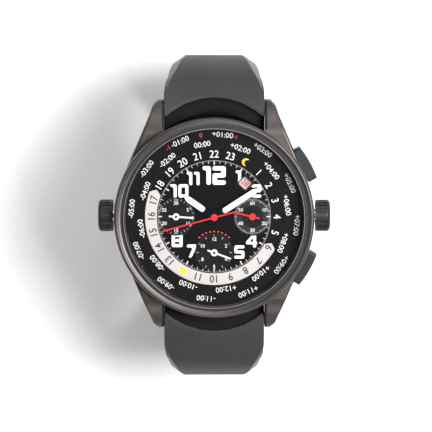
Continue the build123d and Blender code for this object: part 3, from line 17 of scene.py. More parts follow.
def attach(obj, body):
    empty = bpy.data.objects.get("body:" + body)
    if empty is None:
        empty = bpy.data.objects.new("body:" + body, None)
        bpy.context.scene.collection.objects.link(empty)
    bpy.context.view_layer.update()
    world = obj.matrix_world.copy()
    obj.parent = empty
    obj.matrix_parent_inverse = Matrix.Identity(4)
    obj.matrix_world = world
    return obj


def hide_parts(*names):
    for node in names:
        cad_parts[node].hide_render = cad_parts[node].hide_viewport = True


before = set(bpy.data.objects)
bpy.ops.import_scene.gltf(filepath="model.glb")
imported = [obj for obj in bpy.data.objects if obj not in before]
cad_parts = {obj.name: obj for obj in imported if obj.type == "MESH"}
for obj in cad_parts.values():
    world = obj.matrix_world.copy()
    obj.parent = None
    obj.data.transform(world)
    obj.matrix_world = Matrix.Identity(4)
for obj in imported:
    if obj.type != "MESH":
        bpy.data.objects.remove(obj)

logging.basicConfig(level=logging.INFO, format="%(message)s")
log = logging.getLogger("watch")

MM = 0.001
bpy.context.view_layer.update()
PRINT_THICK = 0.02
SECONDS_AT = (8.29, 0.0)
MINUTES_AT = (-8.29, 0.0)
HOURS_AT = (0.0, -7.88)
WINDOW_AT = (9.95, 43.0)
WELD_REACH = 1e-4 * MM
Triple = tuple[float, float, float]
Colour = Triple
Point2 = tuple[float, float]
Outline = list[Point2]
Mesh = bpy.types.Mesh
Material = bpy.types.Material


class Signal:
    """Wraps a node socket, so that shader maths reads as Python expressions."""

    def __init__(self, shop: "Shop", socket: bpy.types.NodeSocket) -> None:
        """Keeps the material's shop and the socket that carries the value."""
        self.shop = shop
        self.socket = socket

    def _math(self, operation: str, *values: "Signal | float") -> "Signal":
        """Adds a Math node.

        Args:
            operation: the node's operation.
            values: signals or numbers for its inputs.

        Returns:
            The node's result.
        """
        return self.shop.node("ShaderNodeMath", {"operation": operation}, dict(enumerate(values)))

    def __add__(self, other: "Signal | float") -> "Signal":
        """Adds."""
        return self._math("ADD", self, other)

    def __mul__(self, other: "Signal | float") -> "Signal":
        """Multiplies."""
        return self._math("MULTIPLY", self, other)

    __radd__ = __add__
    __rmul__ = __mul__

    def sine(self) -> "Signal":
        """Gives the sine."""
        return self._math("SINE", self)

    def root(self) -> "Signal":
        """Gives the square root."""
        return self._math("SQRT", self)


class Shop:
    """Builds one material's node tree round a Principled shader."""

    def __init__(self, name: str) -> None:
        """Makes an empty material with its shader.

        Args:
            name: name of the material.
        """
        self.material = bpy.data.materials.new(name)
        self.material.use_nodes = True
        self.tree = self.material.node_tree
        self.shader = self.tree.nodes["Principled BSDF"]

    def _feed(self, socket: bpy.types.NodeSocket, value: "Signal | float | tuple") -> None:
        """Links a signal to a socket, or sets its constant, with full alpha on a colour.

        Args:
            socket: the input.
            value: what it gets.
        """
        if isinstance(value, Signal):
            self.tree.links.new(value.socket, socket)
        elif socket.type == "RGBA":
            socket.default_value = (*value, 1)
        else:
            socket.default_value = value

    def node(self, kind: str, settings: dict, values: dict, output: int | str = 0) -> Signal:
        """Adds any node.

        Args:
            kind: the node's type.
            settings: properties that are set first, or a colour ramp's two stops.
            values: socket index or name to a signal or a constant.
            output: which output is given back.

        Returns:
            The chosen output.
        """
        made = self.tree.nodes.new(kind)
        for key, value in settings.items():
            if key == "stops":
                for element, (place, colour) in zip(made.color_ramp.elements, value):
                    element.position = place
                    element.color = (*colour, 1)
            else:
                setattr(made, key, value)
        for key, value in values.items():
            self._feed(made.inputs[key], value)
        return Signal(self, made.outputs[output])

    def place(self) -> Signal:
        """Gives the object coordinates."""
        return self.node("ShaderNodeTexCoord", {}, {}, "Object")

    def axes(self, vector: Signal) -> tuple[Signal, Signal, Signal]:
        """Splits a vector into its three numbers."""
        outs = self.node("ShaderNodeSeparateXYZ", {}, {0: vector}).socket.node.outputs
        return Signal(self, outs[0]), Signal(self, outs[1]), Signal(self, outs[2])

    def noise(self, vector: Signal, scale: float, detail: float) -> Signal:
        """Gives a noise between 0 and 1."""
        return self.node("ShaderNodeTexNoise", {}, {"Vector": vector, "Scale": scale, "Detail": detail})

    def blend(self, share: Signal, low: Colour, high: Colour) -> Signal:
        """Mixes two colours by a share."""
        return self.node("ShaderNodeMix", {"data_type": "RGBA"}, {0: share, 6: low, 7: high}, 2)

    def bump(self, height: Signal, strength: float, depth: float) -> None:
        """Feeds a bump of a real depth in metres to the shader's normal."""
        normal = self.node("ShaderNodeBump", {}, {"Strength": strength, "Distance": depth, "Height": height})
        self._feed(self.shader.inputs["Normal"], normal)

    def wear(self, **sockets: "Signal | float | Colour") -> Material:
        """Sets the shader's sockets by name.

        Args:
            sockets: socket names with underscores, to signals or constants.

        Returns:
            The finished material.
        """
        for name, value in sockets.items():
            self._feed(self.shader.inputs[name.replace("_", " ")], value)
        return self.material


@dataclass(frozen=True)
class TurnedMetal:
    """Coated metal with fine marks that run round the watch's axis or along one way."""

    name: str
    tone: Colour
    warm: Colour
    roughness: float
    metallic: float
    marks: float
    round_marks: bool = True
    gloss: float = 0.5
    spread: float = 0.12
    mark_scale: float = 9000.0
    mark_stretch: float = 40.0
    mark_depth: float = 0.00002
    cloud_scale: float = 160.0

    def build(self) -> Material:
        """Builds the material.

        Returns:
            The finished material.
        """
        shop = Shop(self.name)
        place = shop.place()
        if self.round_marks:
            x, y, z = shop.axes(place)
            radius = (x * x + y * y).root()
            axes = {0: radius * self.mark_scale, 1: z * self.mark_scale}
            line = shop.node("ShaderNodeCombineXYZ", {}, axes)
        else:
            scale = (self.mark_scale, self.mark_scale / self.mark_stretch, self.mark_scale)
            line = shop.node("ShaderNodeMapping", {}, {"Vector": place, "Scale": scale})
        marks = shop.noise(line, 1.0, 2.0)
        colour = shop.blend(shop.noise(place, self.cloud_scale, 3.0), self.tone, self.warm)
        shop.bump(marks, self.marks, self.mark_depth)
        rough = self.roughness - self.spread / 2 + self.spread * marks
        return shop.wear(Base_Color=colour, Metallic=self.metallic, Roughness=rough,
                         Specular_IOR_Level=self.gloss)


@dataclass(frozen=True)
class Rubber:
    """Matt rubber with a fine moulded grain and faint dust."""

    name: str
    tone: Colour
    dust: Colour
    roughness: float
    gloss: float = 0.35
    spread: float = 0.1
    grain_scale: float = 2600.0
    grain_share: float = 0.3
    grain_strength: float = 0.35
    grain_depth: float = 0.00004
    cloud_scale: float = 90.0
    clean: float = 0.35
    dusty: float = 0.75

    def build(self) -> Material:
        """Builds the material.

        Returns:
            The finished material.
        """
        shop = Shop(self.name)
        place = shop.place()
        grain = shop.noise(place, self.grain_scale, 2.0)
        clouds = shop.noise(place, self.cloud_scale, 4.0)
        dirt = clouds * (1 - self.grain_share) + grain * self.grain_share
        stops = ((self.clean, self.tone), (self.dusty, self.dust))
        colour = shop.node("ShaderNodeValToRGB", {"stops": stops}, {0: dirt})
        shop.bump(grain, self.grain_strength, self.grain_depth)
        rough = self.roughness - self.spread / 2 + self.spread * clouds
        return shop.wear(Base_Color=colour, Roughness=rough, Specular_IOR_Level=self.gloss)


@dataclass(frozen=True)
class Lacquer:
    """Smooth lacquer, paint or print, with a slight clouding; a set glow is a painted glow, a faint emission
    that brightens it though it is no lamp.
    """

    name: str
    tone: Colour
    roughness: float
    coat: float = 0.0
    painted_glow: float = 0.0
    grain_scale: float = 4000.0
    grain_depth: float = 0.000004
    gloss: float = 0.5
    spread: float = 0.06
    grain_strength: float = 0.3
    shade: float = 0.88

    def build(self) -> Material:
        """Builds the material.

        Returns:
            The finished material.
        """
        shop = Shop(self.name)
        grain = shop.noise(shop.place(), self.grain_scale, 2.0)
        colour = shop.blend(grain, tuple(self.shade * value for value in self.tone), self.tone)
        if self.grain_depth:
            shop.bump(grain, self.grain_strength, self.grain_depth)
        # Painted glow: emission in the finish's own tone, which brightens it without lighting anything.
        if self.painted_glow:
            shop.wear(Emission_Color=self.tone, Emission_Strength=self.painted_glow)
        rough = self.roughness - self.spread / 2 + self.spread * grain
        return shop.wear(Base_Color=colour, Roughness=rough, Coat_Weight=self.coat,
                         Specular_IOR_Level=self.gloss)


@dataclass(frozen=True)
class StripedPlate:
    """Plated movement plate with straight waves ground across it."""

    name: str
    tone: Colour
    shade: Colour
    pitch: float = 0.0016
    slant: float = 0.35
    smooth: float = 0.22
    spread: float = 0.12
    wave_strength: float = 0.4
    wave_depth: float = 0.00003
    metallic: float = 0.9

    def build(self) -> Material:
        """Builds the material.

        Returns:
            The finished material.
        """
        shop = Shop(self.name)
        x, y, _ = shop.axes(shop.place())
        share = ((x + self.slant * y) * (2 * pi / self.pitch)).sine() * 0.5 + 0.5
        shop.bump(share, self.wave_strength, self.wave_depth)
        rough = self.smooth + self.spread * share
        colour = shop.blend(share, self.shade, self.tone)
        return shop.wear(Base_Color=colour, Metallic=self.metallic, Roughness=rough)


@dataclass(frozen=True)
class Grooved:
    """Dark plate turned with fine rings round its own centre, read from the radius in its UVs."""

    name: str
    tone: Colour
    shade: Colour
    pitch: float = 0.16
    smooth: float = 0.3
    spread: float = 0.05
    groove_strength: float = 0.5
    groove_depth: float = 0.00001
    gloss: float = 0.12

    def build(self) -> Material:
        """Builds the material.

        Returns:
            The finished material.
        """
        shop = Shop(self.name)
        radius, _, _ = shop.axes(shop.node("ShaderNodeTexCoord", {}, {}, "UV"))
        share = (radius * (2 * pi / self.pitch)).sine() * 0.5 + 0.5
        shop.bump(share, self.groove_strength, self.groove_depth)
        rough = self.smooth + self.spread * share
        colour = shop.blend(share, self.shade, self.tone)
        return shop.wear(Base_Color=colour, Roughness=rough, Specular_IOR_Level=self.gloss)


@dataclass(frozen=True)
class Glass:
    """Clear pane that lets light pass straight through."""

    name: str
    tone: Colour
    alpha: float
    smooth: float = 0.02
    spread: float = 0.01
    cloud_scale: float = 60.0
    gloss: float = 0.8

    def build(self) -> Material:
        """Builds the material.

        Returns:
            The finished material.
        """
        shop = Shop(self.name)
        rough = self.smooth + self.spread * shop.noise(shop.place(), self.cloud_scale, 1.0)
        return shop.wear(Base_Color=self.tone, Alpha=self.alpha, Roughness=rough,
                         Specular_IOR_Level=self.gloss)


class Finish(Enum):
    """Finishes that the pieces wear."""

    CASE = TurnedMetal("case_satin", (0.05, 0.044, 0.042), (0.075, 0.064, 0.06), 0.42, 0.8, 0.25, False)
    BEZEL = TurnedMetal("bezel_turned", (0.06, 0.053, 0.051), (0.085, 0.074, 0.071), 0.4, 0.85, 0.3)
    CROWN = TurnedMetal("crown_coat", (0.011, 0.0118, 0.0142), (0.019, 0.0205, 0.0245), 0.42, 0.4, 0.2, False,
                        0.3)
    STEEL = TurnedMetal("plain_steel", (0.45, 0.45, 0.46), (0.55, 0.55, 0.56), 0.28, 1.0, 0.2, False)
    CLASP = TurnedMetal("clasp_brushed", (0.085, 0.08, 0.08), (0.12, 0.112, 0.11), 0.32, 0.9, 0.35, False)
    GLASS = Glass("sapphire", (0.02, 0.022, 0.026), 0.05)
    RUBBER_SEAL = Rubber("gasket_rubber", (0.004, 0.004, 0.004), (0.01, 0.01, 0.01), 0.5)
    PLATE = StripedPlate("striped_plate", (0.66, 0.65, 0.62), (0.4, 0.39, 0.37))
    GILT = TurnedMetal("gilt_brass", (0.62, 0.43, 0.16), (0.78, 0.57, 0.26), 0.26, 1.0, 0.25)
    RUBY = Lacquer("ruby", (0.42, 0.01, 0.06), 0.08, 1.0)
    DIAL = Lacquer("dial_lacquer", (0.0045, 0.004, 0.0045), 0.16, 0.04, 0.0, 900.0, 0.0, 0.2)
    SUBDIAL = Grooved("subdial_grooved", (0.009, 0.0085, 0.009), (0.005, 0.0048, 0.005))
    SUBDIAL_GREY = Grooved("subdial_grey", (0.028, 0.027, 0.029), (0.018, 0.0175, 0.0185))
    ZONE = Lacquer("zone_lacquer", (0.0055, 0.005, 0.0055), 0.2, 0.05, 0.0, 900.0, 0.0, 0.22)
    # Lume white with a painted glow: its faint emission brightens the numerals and hand strips though they
    # light nothing.
    LUME = Lacquer("lume_white", (0.82, 0.82, 0.79), 0.55, 0.0, 0.06, 6000.0, 0.00002)
    WHITE = Lacquer("hand_white", (0.8, 0.8, 0.79), 0.4, 0.1)
    RED = Lacquer("hand_red", (0.62, 0.015, 0.02), 0.3, 0.4)
    PRINT_WHITE = Lacquer("print_white", (0.78, 0.78, 0.77), 0.5)
    PRINT_RED = Lacquer("print_red", (0.55, 0.02, 0.025), 0.5)
    PRINT_DARK = Lacquer("print_dark", (0.012, 0.013, 0.018), 0.5)
    PRINT_YELLOW = Lacquer("print_yellow", (0.83, 0.58, 0.0), 0.5)
    DAY = Lacquer("day_white", (0.55, 0.505, 0.495), 0.45)
    DATE = Lacquer("date_white", (0.72, 0.56, 0.57), 0.5)
    RUBBER = Rubber("strap_rubber", (0.018, 0.017, 0.0192), (0.03, 0.0286, 0.0318), 0.62, 0.3)
    # Strap flanks: the lighter tone and dust are a painted sheen where the sloping sides catch side light;
    # the lower roughness and higher gloss are the flank's own finish.
    RUBBER_FLANK_SHEEN = Rubber("strap_flank_painted_sheen", (0.052, 0.048, 0.05), (0.085, 0.079, 0.081), 0.5, 0.4)
    # Hollow beside the case: this near-black rubber is painted shade under the bezel's overhang, not a
    # different rubber.
    RUBBER_HOLLOW_SHADE = Rubber("strap_hollow_painted_shade", (0.0035, 0.0035, 0.004), (0.006, 0.006, 0.0065), 0.7, 0.12)
    SILVER = Lacquer("silver_line", (0.3, 0.3, 0.3), 0.3, 0.2)
    FLOOR = Lacquer("white_floor", (0.97, 0.97, 0.97), 0.8)


class Paintbox:
    """Makes each finish once and hands it out."""

    def __init__(self) -> None:
        """Starts with nothing made."""
        self._made: dict[Finish, Material] = {}

    def get(self, finish: Finish) -> Material:
        """Gives a finish's material, made on first use.

        Args:
            finish: the finish.

        Returns:
            Its material.
        """
        if finish not in self._made:
            self._made[finish] = finish.value.build()
        return self._made[finish]


PAINT = Paintbox()


RECORD_SLOTS: dict[Finish, str] = {
    Finish.LUME: "hand_white", Finish.WHITE: "hand_white", Finish.RED: "hand_red",
    Finish.RUBBER: "strap_rubber",
    **dict.fromkeys((Finish.PRINT_WHITE, Finish.PRINT_RED, Finish.PRINT_DARK, Finish.PRINT_YELLOW, Finish.DAY,
                     Finish.SUBDIAL, Finish.SUBDIAL_GREY, Finish.SILVER), "dial_black"),
}


def linked(name: str, data: bpy.types.ID) -> bpy.types.Object:
    """Puts a mesh, curve, lamp or camera in the scene.

    Args:
        name: name of the object.
        data: what it shows.

    Returns:
        The object.
    """
    holder = bpy.data.objects.new(name, data)
    bpy.context.scene.collection.objects.link(holder)
    return holder


def baked(holder: bpy.types.Object) -> Mesh:
    """Turns an object with its modifiers into a plain mesh.

    Args:
        holder: the object; it is used up.

    Returns:
        The mesh.
    """
    graph = bpy.context.evaluated_depsgraph_get()
    mesh = bpy.data.meshes.new_from_object(holder.evaluated_get(graph))
    bpy.data.objects.remove(holder)
    return mesh


def coated(mesh: Mesh, finish: Finish) -> Mesh:
    """Gives a mesh one finish all over.

    Args:
        mesh: the mesh.
        finish: its finish.

    Returns:
        The same mesh.
    """
    mesh.materials.clear()
    mesh.materials.append(PAINT.get(finish))
    for polygon in mesh.polygons:
        polygon.material_index = 0
    return mesh


def mesh_from(name: str, points: list[Vector], faces: list[tuple[int, ...]]) -> Mesh:
    """Makes a mesh with its doubles merged and its faces outwards.

    Args:
        name: name of the mesh.
        points: places in metres.
        faces: each face's points.

    Returns:
        The mesh.
    """
    mesh = bpy.data.meshes.new(name)
    mesh.from_pydata(points, [], faces)
    book = bmesh.new()
    book.from_mesh(mesh)
    bmesh.ops.remove_doubles(book, verts=book.verts, dist=WELD_REACH)
    bmesh.ops.recalc_face_normals(book, faces=book.faces)
    book.to_mesh(mesh)
    book.free()
    return mesh


def joined(name: str, meshes: list[Mesh]) -> Mesh:
    """Joins meshes and keeps each one's material.

    Args:
        name: name of the result.
        meshes: meshes in metres; they are used up.

    Returns:
        One mesh with a slot for each material.
    """
    book = bmesh.new()
    result = bpy.data.meshes.new(name)
    for mesh in meshes:
        start = len(book.faces)
        book.from_mesh(mesh)
        book.faces.ensure_lookup_table()
        for material in mesh.materials:
            if material.name not in result.materials:
                result.materials.append(material)
        for polygon in book.faces[start:]:
            material = mesh.materials[polygon.material_index]
            polygon.material_index = result.materials.find(material.name)
        bpy.data.meshes.remove(mesh)
    book.to_mesh(result)
    book.free()
    return result


def new_piece(name: str, meshes: list[Mesh], finish: Finish, body: str) -> bpy.types.Object:
    """Puts meshes in the scene as one finished piece.

    Args:
        name: name of the piece.
        meshes: its finished meshes, placed in metres.
        finish: not used.
        body: the body it rides on.

    Returns:
        The piece's object.
    """
    mesh = joined(name, meshes) if len(meshes) > 1 else meshes[0]
    piece = linked(name, mesh)
    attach(piece, body)
    log.info("%s on %s: %d faces", name, body, len(mesh.polygons))
    return piece


def clock(radius: float, angle: float, height: float = 0.0) -> Vector:
    """Gives a place over the dial.

    Args:
        radius: distance from the centre in millimetres.
        angle: clock angle from 12 in degrees, clockwise.
        height: height in millimetres.

    Returns:
        The place in millimetres.
    """
    turn = radians(angle)
    return Vector((radius * sin(turn), radius * cos(turn), height))


def on_dial(radius: float, angle: float, height: float, centre: Point2 = (0.0, 0.0),
            upright: bool = False) -> Matrix:
    """Gives a plane over the dial at a clock angle, turned so that figures stand outwards.

    Args:
        radius: distance from the centre in millimetres.
        angle: clock angle of the place in degrees.
        height: height in millimetres.
        centre: the centre in millimetres.
        upright: keeps the plane unturned.

    Returns:
        The plane's place in metres.
    """
    spot = Vector((*centre, 0)) + clock(radius, angle, height)
    return Matrix.Translation(spot * MM) @ Matrix.Rotation(0.0 if upright else -radians(angle), 4, "Z")


def arc(centre: Point2, radius: float, start: float, end: float, steps: int) -> Outline:
    """Gives points along an arc.

    Args:
        centre: its centre.
        radius: its radius.
        start: angle of the first point in radians.
        end: angle of the last point in radians.
        steps: number of segments.

    Returns:
        The points, ends included.
    """
    turns = (start + (end - start) * step / steps for step in range(steps + 1))
    return [(centre[0] + radius * cos(turn), centre[1] + radius * sin(turn)) for turn in turns]


def rounded(corners: Outline, radius: float, steps: int = 4) -> Outline:
    """Rounds a polygon's corners.

    Args:
        corners: the polygon.
        radius: radius of each corner, cut back on short sides.
        steps: segments in each corner.

    Returns:
        The polygon with rounded corners.
    """
    longest_share = 0.48
    result: Outline = []
    for index, corner in enumerate(corners):
        here = Vector(corner)
        one, two = Vector(corners[index - 1]) - here, Vector(corners[(index + 1) % len(corners)]) - here
        half_turn = one.angle(two) / 2
        reach = min(radius / tan(half_turn), longest_share * one.length, longest_share * two.length)
        start, end = here + one.normalized() * reach, here + two.normalized() * reach
        for step in range(steps + 1):
            share = step / steps
            result.append(tuple(start * (1 - share) ** 2 + here * 2 * share * (1 - share) + end * share**2))
    return result


def rounded_box(half_x: float, half_y: float, radius: float) -> Outline:
    """Gives a rounded rectangle about the origin from its half sides and corner radius."""
    return rounded([(-half_x, -half_y), (half_x, -half_y), (half_x, half_y), (-half_x, half_y)], radius)


class TickTree:
    """Geometry Nodes tree that stands bars on a circle and turns them outwards."""

    LENGTHS = ("Radius", "Length", "Width", "Height", "Level", "Centre X", "Centre Y")

    def __init__(self) -> None:
        """Builds the tree with its named inputs."""
        self.tree = bpy.data.node_groups.new("ticks_on_circle", "GeometryNodeTree")
        face = self.tree.interface
        face.new_socket("Geometry", in_out="OUTPUT", socket_type="NodeSocketGeometry")
        face.new_socket("Count", in_out="INPUT", socket_type="NodeSocketInt")
        for name in (*self.LENGTHS, "Start"):
            face.new_socket(name, in_out="INPUT", socket_type="NodeSocketFloat")
        face.new_socket("Material", in_out="INPUT", socket_type="NodeSocketMaterial")
        add = self.tree.nodes.new
        entry = add("NodeGroupInput").outputs
        circle, bar = add("GeometryNodeMeshCircle"), add("GeometryNodeMeshCube")
        size, shift, turn = (add("ShaderNodeCombineXYZ") for _ in range(3))
        align = add("FunctionNodeAlignRotationToVector")
        align.axis = "X"
        stand, move = add("GeometryNodeInstanceOnPoints"), add("GeometryNodeTransform")
        real, paint = add("GeometryNodeRealizeInstances"), add("GeometryNodeSetMaterial")
        for out, into in (
            (entry["Count"], circle.inputs["Vertices"]),
            (entry["Radius"], circle.inputs["Radius"]),
            (entry["Length"], size.inputs[0]),
            (entry["Width"], size.inputs[1]),
            (entry["Height"], size.inputs[2]),
            (size.outputs[0], bar.inputs["Size"]),
            (add("GeometryNodeInputPosition").outputs[0], align.inputs["Vector"]),
            (circle.outputs["Mesh"], stand.inputs["Points"]),
            (bar.outputs["Mesh"], stand.inputs["Instance"]),
            (align.outputs[0], stand.inputs["Rotation"]),
            (stand.outputs[0], move.inputs["Geometry"]),
            (entry["Centre X"], shift.inputs[0]),
            (entry["Centre Y"], shift.inputs[1]),
            (entry["Level"], shift.inputs[2]),
            (entry["Start"], turn.inputs[2]),
            (shift.outputs[0], move.inputs["Translation"]),
            (turn.outputs[0], move.inputs["Rotation"]),
            (move.outputs[0], real.inputs[0]),
            (real.outputs[0], paint.inputs["Geometry"]),
            (entry["Material"], paint.inputs["Material"]),
            (paint.outputs[0], add("NodeGroupOutput").inputs[0]),
        ):
            self.tree.links.new(out, into)

    def mesh(self, finish: Finish, count: int, start: float, lengths: tuple[float, ...]) -> Mesh:
        """Runs the tree once.

        Args:
            finish: finish of the bars.
            count: number of bars.
            start: angle of the first bar in degrees, anticlockwise from 3 o'clock.
            lengths: the tree's lengths in millimetres, in the order of LENGTHS.

        Returns:
            The bars as one plain mesh.
        """
        holder = linked("ticks", bpy.data.meshes.new("ticks"))
        modifier = holder.modifiers.new("ticks", "NODES")
        modifier.node_group = self.tree
        values = {name: length * MM for name, length in zip(self.LENGTHS, lengths)}
        values |= {"Count": count, "Start": radians(start), "Material": PAINT.get(finish)}
        for item in self.tree.interface.items_tree:
            if item.name in values:
                modifier[item.identifier] = values[item.name]
        return coated(baked(holder), finish)


TICKS = TickTree()


@dataclass(frozen=True)
class TickRow:
    """A row of printed bars on a circle."""

    count: int
    radius: float
    length: float
    width: float
    finish: Finish = Finish.PRINT_WHITE
    start: float = 0.0

    def mesh(self, level: float, centre: Point2 = (0.0, 0.0)) -> Mesh:
        """Prints the row.

        Args:
            level: height of the surface that it is printed on, in millimetres.
            centre: the circle's centre in millimetres.

        Returns:
            The mesh in metres.
        """
        lengths = (self.radius, self.length, self.width, PRINT_THICK, level + PRINT_THICK / 2, *centre)
        return TICKS.mesh(self.finish, self.count, self.start, lengths)


def settled(curve: bpy.types.Curve, thick: float, place: Matrix, finish: Finish) -> Mesh:
    """Turns a flat curve into a solid and puts it in its place.

    Args:
        curve: the curve; it is used up.
        thick: thickness in millimetres, upwards from the plane.
        place: where the plane lies, in metres.
        finish: finish of the solid.

    Returns:
        The mesh in its place.
    """
    curve.extrude = thick * MM / 2
    mesh = baked(linked("flat", curve))
    bpy.data.curves.remove(curve)
    mesh.transform(place @ Matrix.Translation((0, 0, thick * MM / 2)))
    return coated(mesh, finish)


def flat_solid(outlines: list[Outline], thick: float, place: Matrix, finish: Finish) -> Mesh:
    """Fills outlines, where inner ones are holes.

    Args:
        outlines: closed outlines in millimetres.
        thick: thickness in millimetres, upwards from the plane.
        place: where the plane lies, in metres.
        finish: finish of the shape.

    Returns:
        The mesh in its place.
    """
    curve = bpy.data.curves.new("flat", "CURVE")
    curve.dimensions = "2D"
    curve.fill_mode = "BOTH"
    for outline in outlines:
        spline = curve.splines.new("POLY")
        spline.points.add(len(outline) - 1)
        for point, (x, y) in zip(spline.points, outline):
            point.co = (x * MM, y * MM, 0, 1)
        spline.use_cyclic_u = True
    return settled(curve, thick, place, finish)


@dataclass(frozen=True)
class FigureStyle:
    """Look of printed figures, with a height and a widening of the strokes in millimetres."""

    height: float
    finish: Finish
    bold: float
    squeeze: float = 1.0
    cap_share: float = 0.729
    curve_steps: int = 3

    def mesh(self, text: str, place: Matrix) -> Mesh:
        """Prints figures, centred on their place.

        Args:
            text: the figures.
            place: where their plane lies, in metres.

        Returns:
            The mesh in its place.
        """
        curve = bpy.data.curves.new("figures", "FONT")
        curve.body = text
        curve.size = self.height * MM / self.cap_share
        curve.align_x = "CENTER"
        curve.offset = self.bold * MM
        curve.resolution_u = self.curve_steps
        drop = Matrix.Translation((0, -self.height * MM / 2, 0))
        shape = Matrix.Diagonal((self.squeeze, 1, 1, 1)) @ drop
        return settled(curve, PRINT_THICK, place @ shape, self.finish)


def circle_band(outer: float, inner: float, low: float, high: float, finish: Finish,
                centre: Point2 = (0.0, 0.0), steps: int = 96) -> Mesh:
    """Makes a flat ring, with the radius in millimetres in its UVs.

    Args:
        outer: outer radius in millimetres.
        inner: inner radius in millimetres, or zero for a disc.
        low: height of the underside.
        high: height of the top.
        finish: its finish.
        centre: centre in millimetres.
        steps: segments in the full turn.

    Returns:
        The mesh in metres.
    """
    points: list[Vector] = []
    faces: list[tuple[int, ...]] = []
    for step in range(steps + 1):
        way = clock(1.0, 360 * step / steps)
        for radius, height in ((inner, low), (outer, low), (outer, high), (inner, high)):
            points.append((Vector((*centre, height)) + way * radius) * MM)
    for step in range(steps):
        for side in range(4):
            a, b = 4 * step + side, 4 * step + (side + 1) % 4
            faces.append((a, b, b + 4, a + 4))
    mesh = mesh_from("band", points, faces)
    sheet = mesh.uv_layers.new(name="rings")
    for loop in mesh.loops:
        spot = mesh.vertices[loop.vertex_index].co / MM
        sheet.data[loop.index].uv = (hypot(spot.x - centre[0], spot.y - centre[1]), spot.z)
    return coated(mesh, finish)


def cut(mesh: Mesh, cutters: list[Mesh]) -> Mesh:
    """Takes closed shapes away from a mesh.

    Args:
        mesh: closed mesh in metres.
        cutters: closed meshes in metres.

    Returns:
        What is left.
    """
    target = linked("cut_target", mesh)
    tools = [linked("cutter", cutter) for cutter in cutters]
    for tool in tools:
        modifier = target.modifiers.new("cut", "BOOLEAN")
        modifier.solver = "EXACT"
        modifier.object = tool
    result = baked(target)
    for tool in tools:
        bpy.data.objects.remove(tool)
    return result


@dataclass(frozen=True)
class Numeral:
    """One hour numeral on the dial, drawn as squared strokes."""

    text: str
    angle: float
    radius: float
    height: float
    width: float
    stroke: float = 0.66
    corner: float = 0.5
    gap: float = 0.36
    one_share: float = 0.62
    thick: float = 0.14

    def outlines(self, figure: str, w: float) -> list[Outline]:
        """Gives the closed outlines of one figure.

        Args:
            figure: a figure from 0 to 8.
            w: width of its box in millimetres.

        Returns:
            The outlines, where later ones are holes.
        """
        h, s = self.height, self.stroke
        low, high = (h - s) / 2, (h + s) / 2
        bar, nick = 0.24 * h, 0.1
        shelf, stem = bar + 0.8 * s, w - 1.3 * s
        sharp: dict[str, list[Outline]] = {
            "0": [[(0, 0), (w, 0), (w, h), (0, h)], [(s, s), (s, h - s), (w - s, h - s), (w - s, s)]],
            "1": [[(w - s, 0), (w, 0), (w, h), (0, h), (0, h - 0.8 * s), (w - s, h - s)]],
            "2": [[(0, 0), (w, 0), (w, s), (s, s), (s, low), (w, low), (w, h), (0, h), (0, h - s),
                   (w - s, h - s), (w - s, high), (0, high)]],
            "4": [[(stem, 0), (stem + s, 0), (stem + s, bar), (w, bar), (w, shelf), (stem + s, shelf),
                   (stem + s, h), (stem - nick, h), (0, shelf), (0, bar), (stem, bar)],
                  [(0.34 * w, shelf), (stem, 0.78 * h), (stem, shelf)]],
            "5": [[(0, 0), (w, 0), (w, high), (s, high), (s, h - s), (w, h - s), (w, h), (0, h), (0, low),
                   (w - s, low), (w - s, s), (0, s)]],
            "7": [[(0.16 * w, 0), (0.16 * w + s, 0), (w, h - s), (w, h), (0, h), (0, h - s),
                   (w - 1.1 * s, h - s)]],
            "8": [[(0, 0), (w, 0), (w, h), (0, h)], [(s, s), (s, low), (w - s, low), (w - s, s)],
                  [(s, high), (s, h - s), (w - s, h - s), (w - s, high)]],
        }
        outer, *holes = sharp[figure]
        return [rounded(outer, self.corner), *(rounded(hole, self.corner / 2) for hole in holes)]

    def meshes(self, top: float) -> list[Mesh]:
        """Builds the numeral's figures side by side.

        Args:
            top: height of the dial in millimetres.

        Returns:
            One mesh for each figure.
        """
        several = len(self.text) > 1
        gap = self.gap if several else 0.0
        shares = [self.one_share if figure == "1" and several else 1.0 for figure in self.text]
        unit = (self.width - gap * (len(self.text) - 1)) / sum(shares)
        edge = -self.width / 2
        made: list[Mesh] = []
        for figure, share in zip(self.text, shares):
            shift = Matrix.Translation((edge * MM, -self.height * MM / 2, 0))
            place = on_dial(self.radius, self.angle, top, upright=True) @ shift
            made.append(flat_solid(self.outlines(figure, unit * share), self.thick, place, Finish.LUME))
            edge += unit * share + gap
        return made


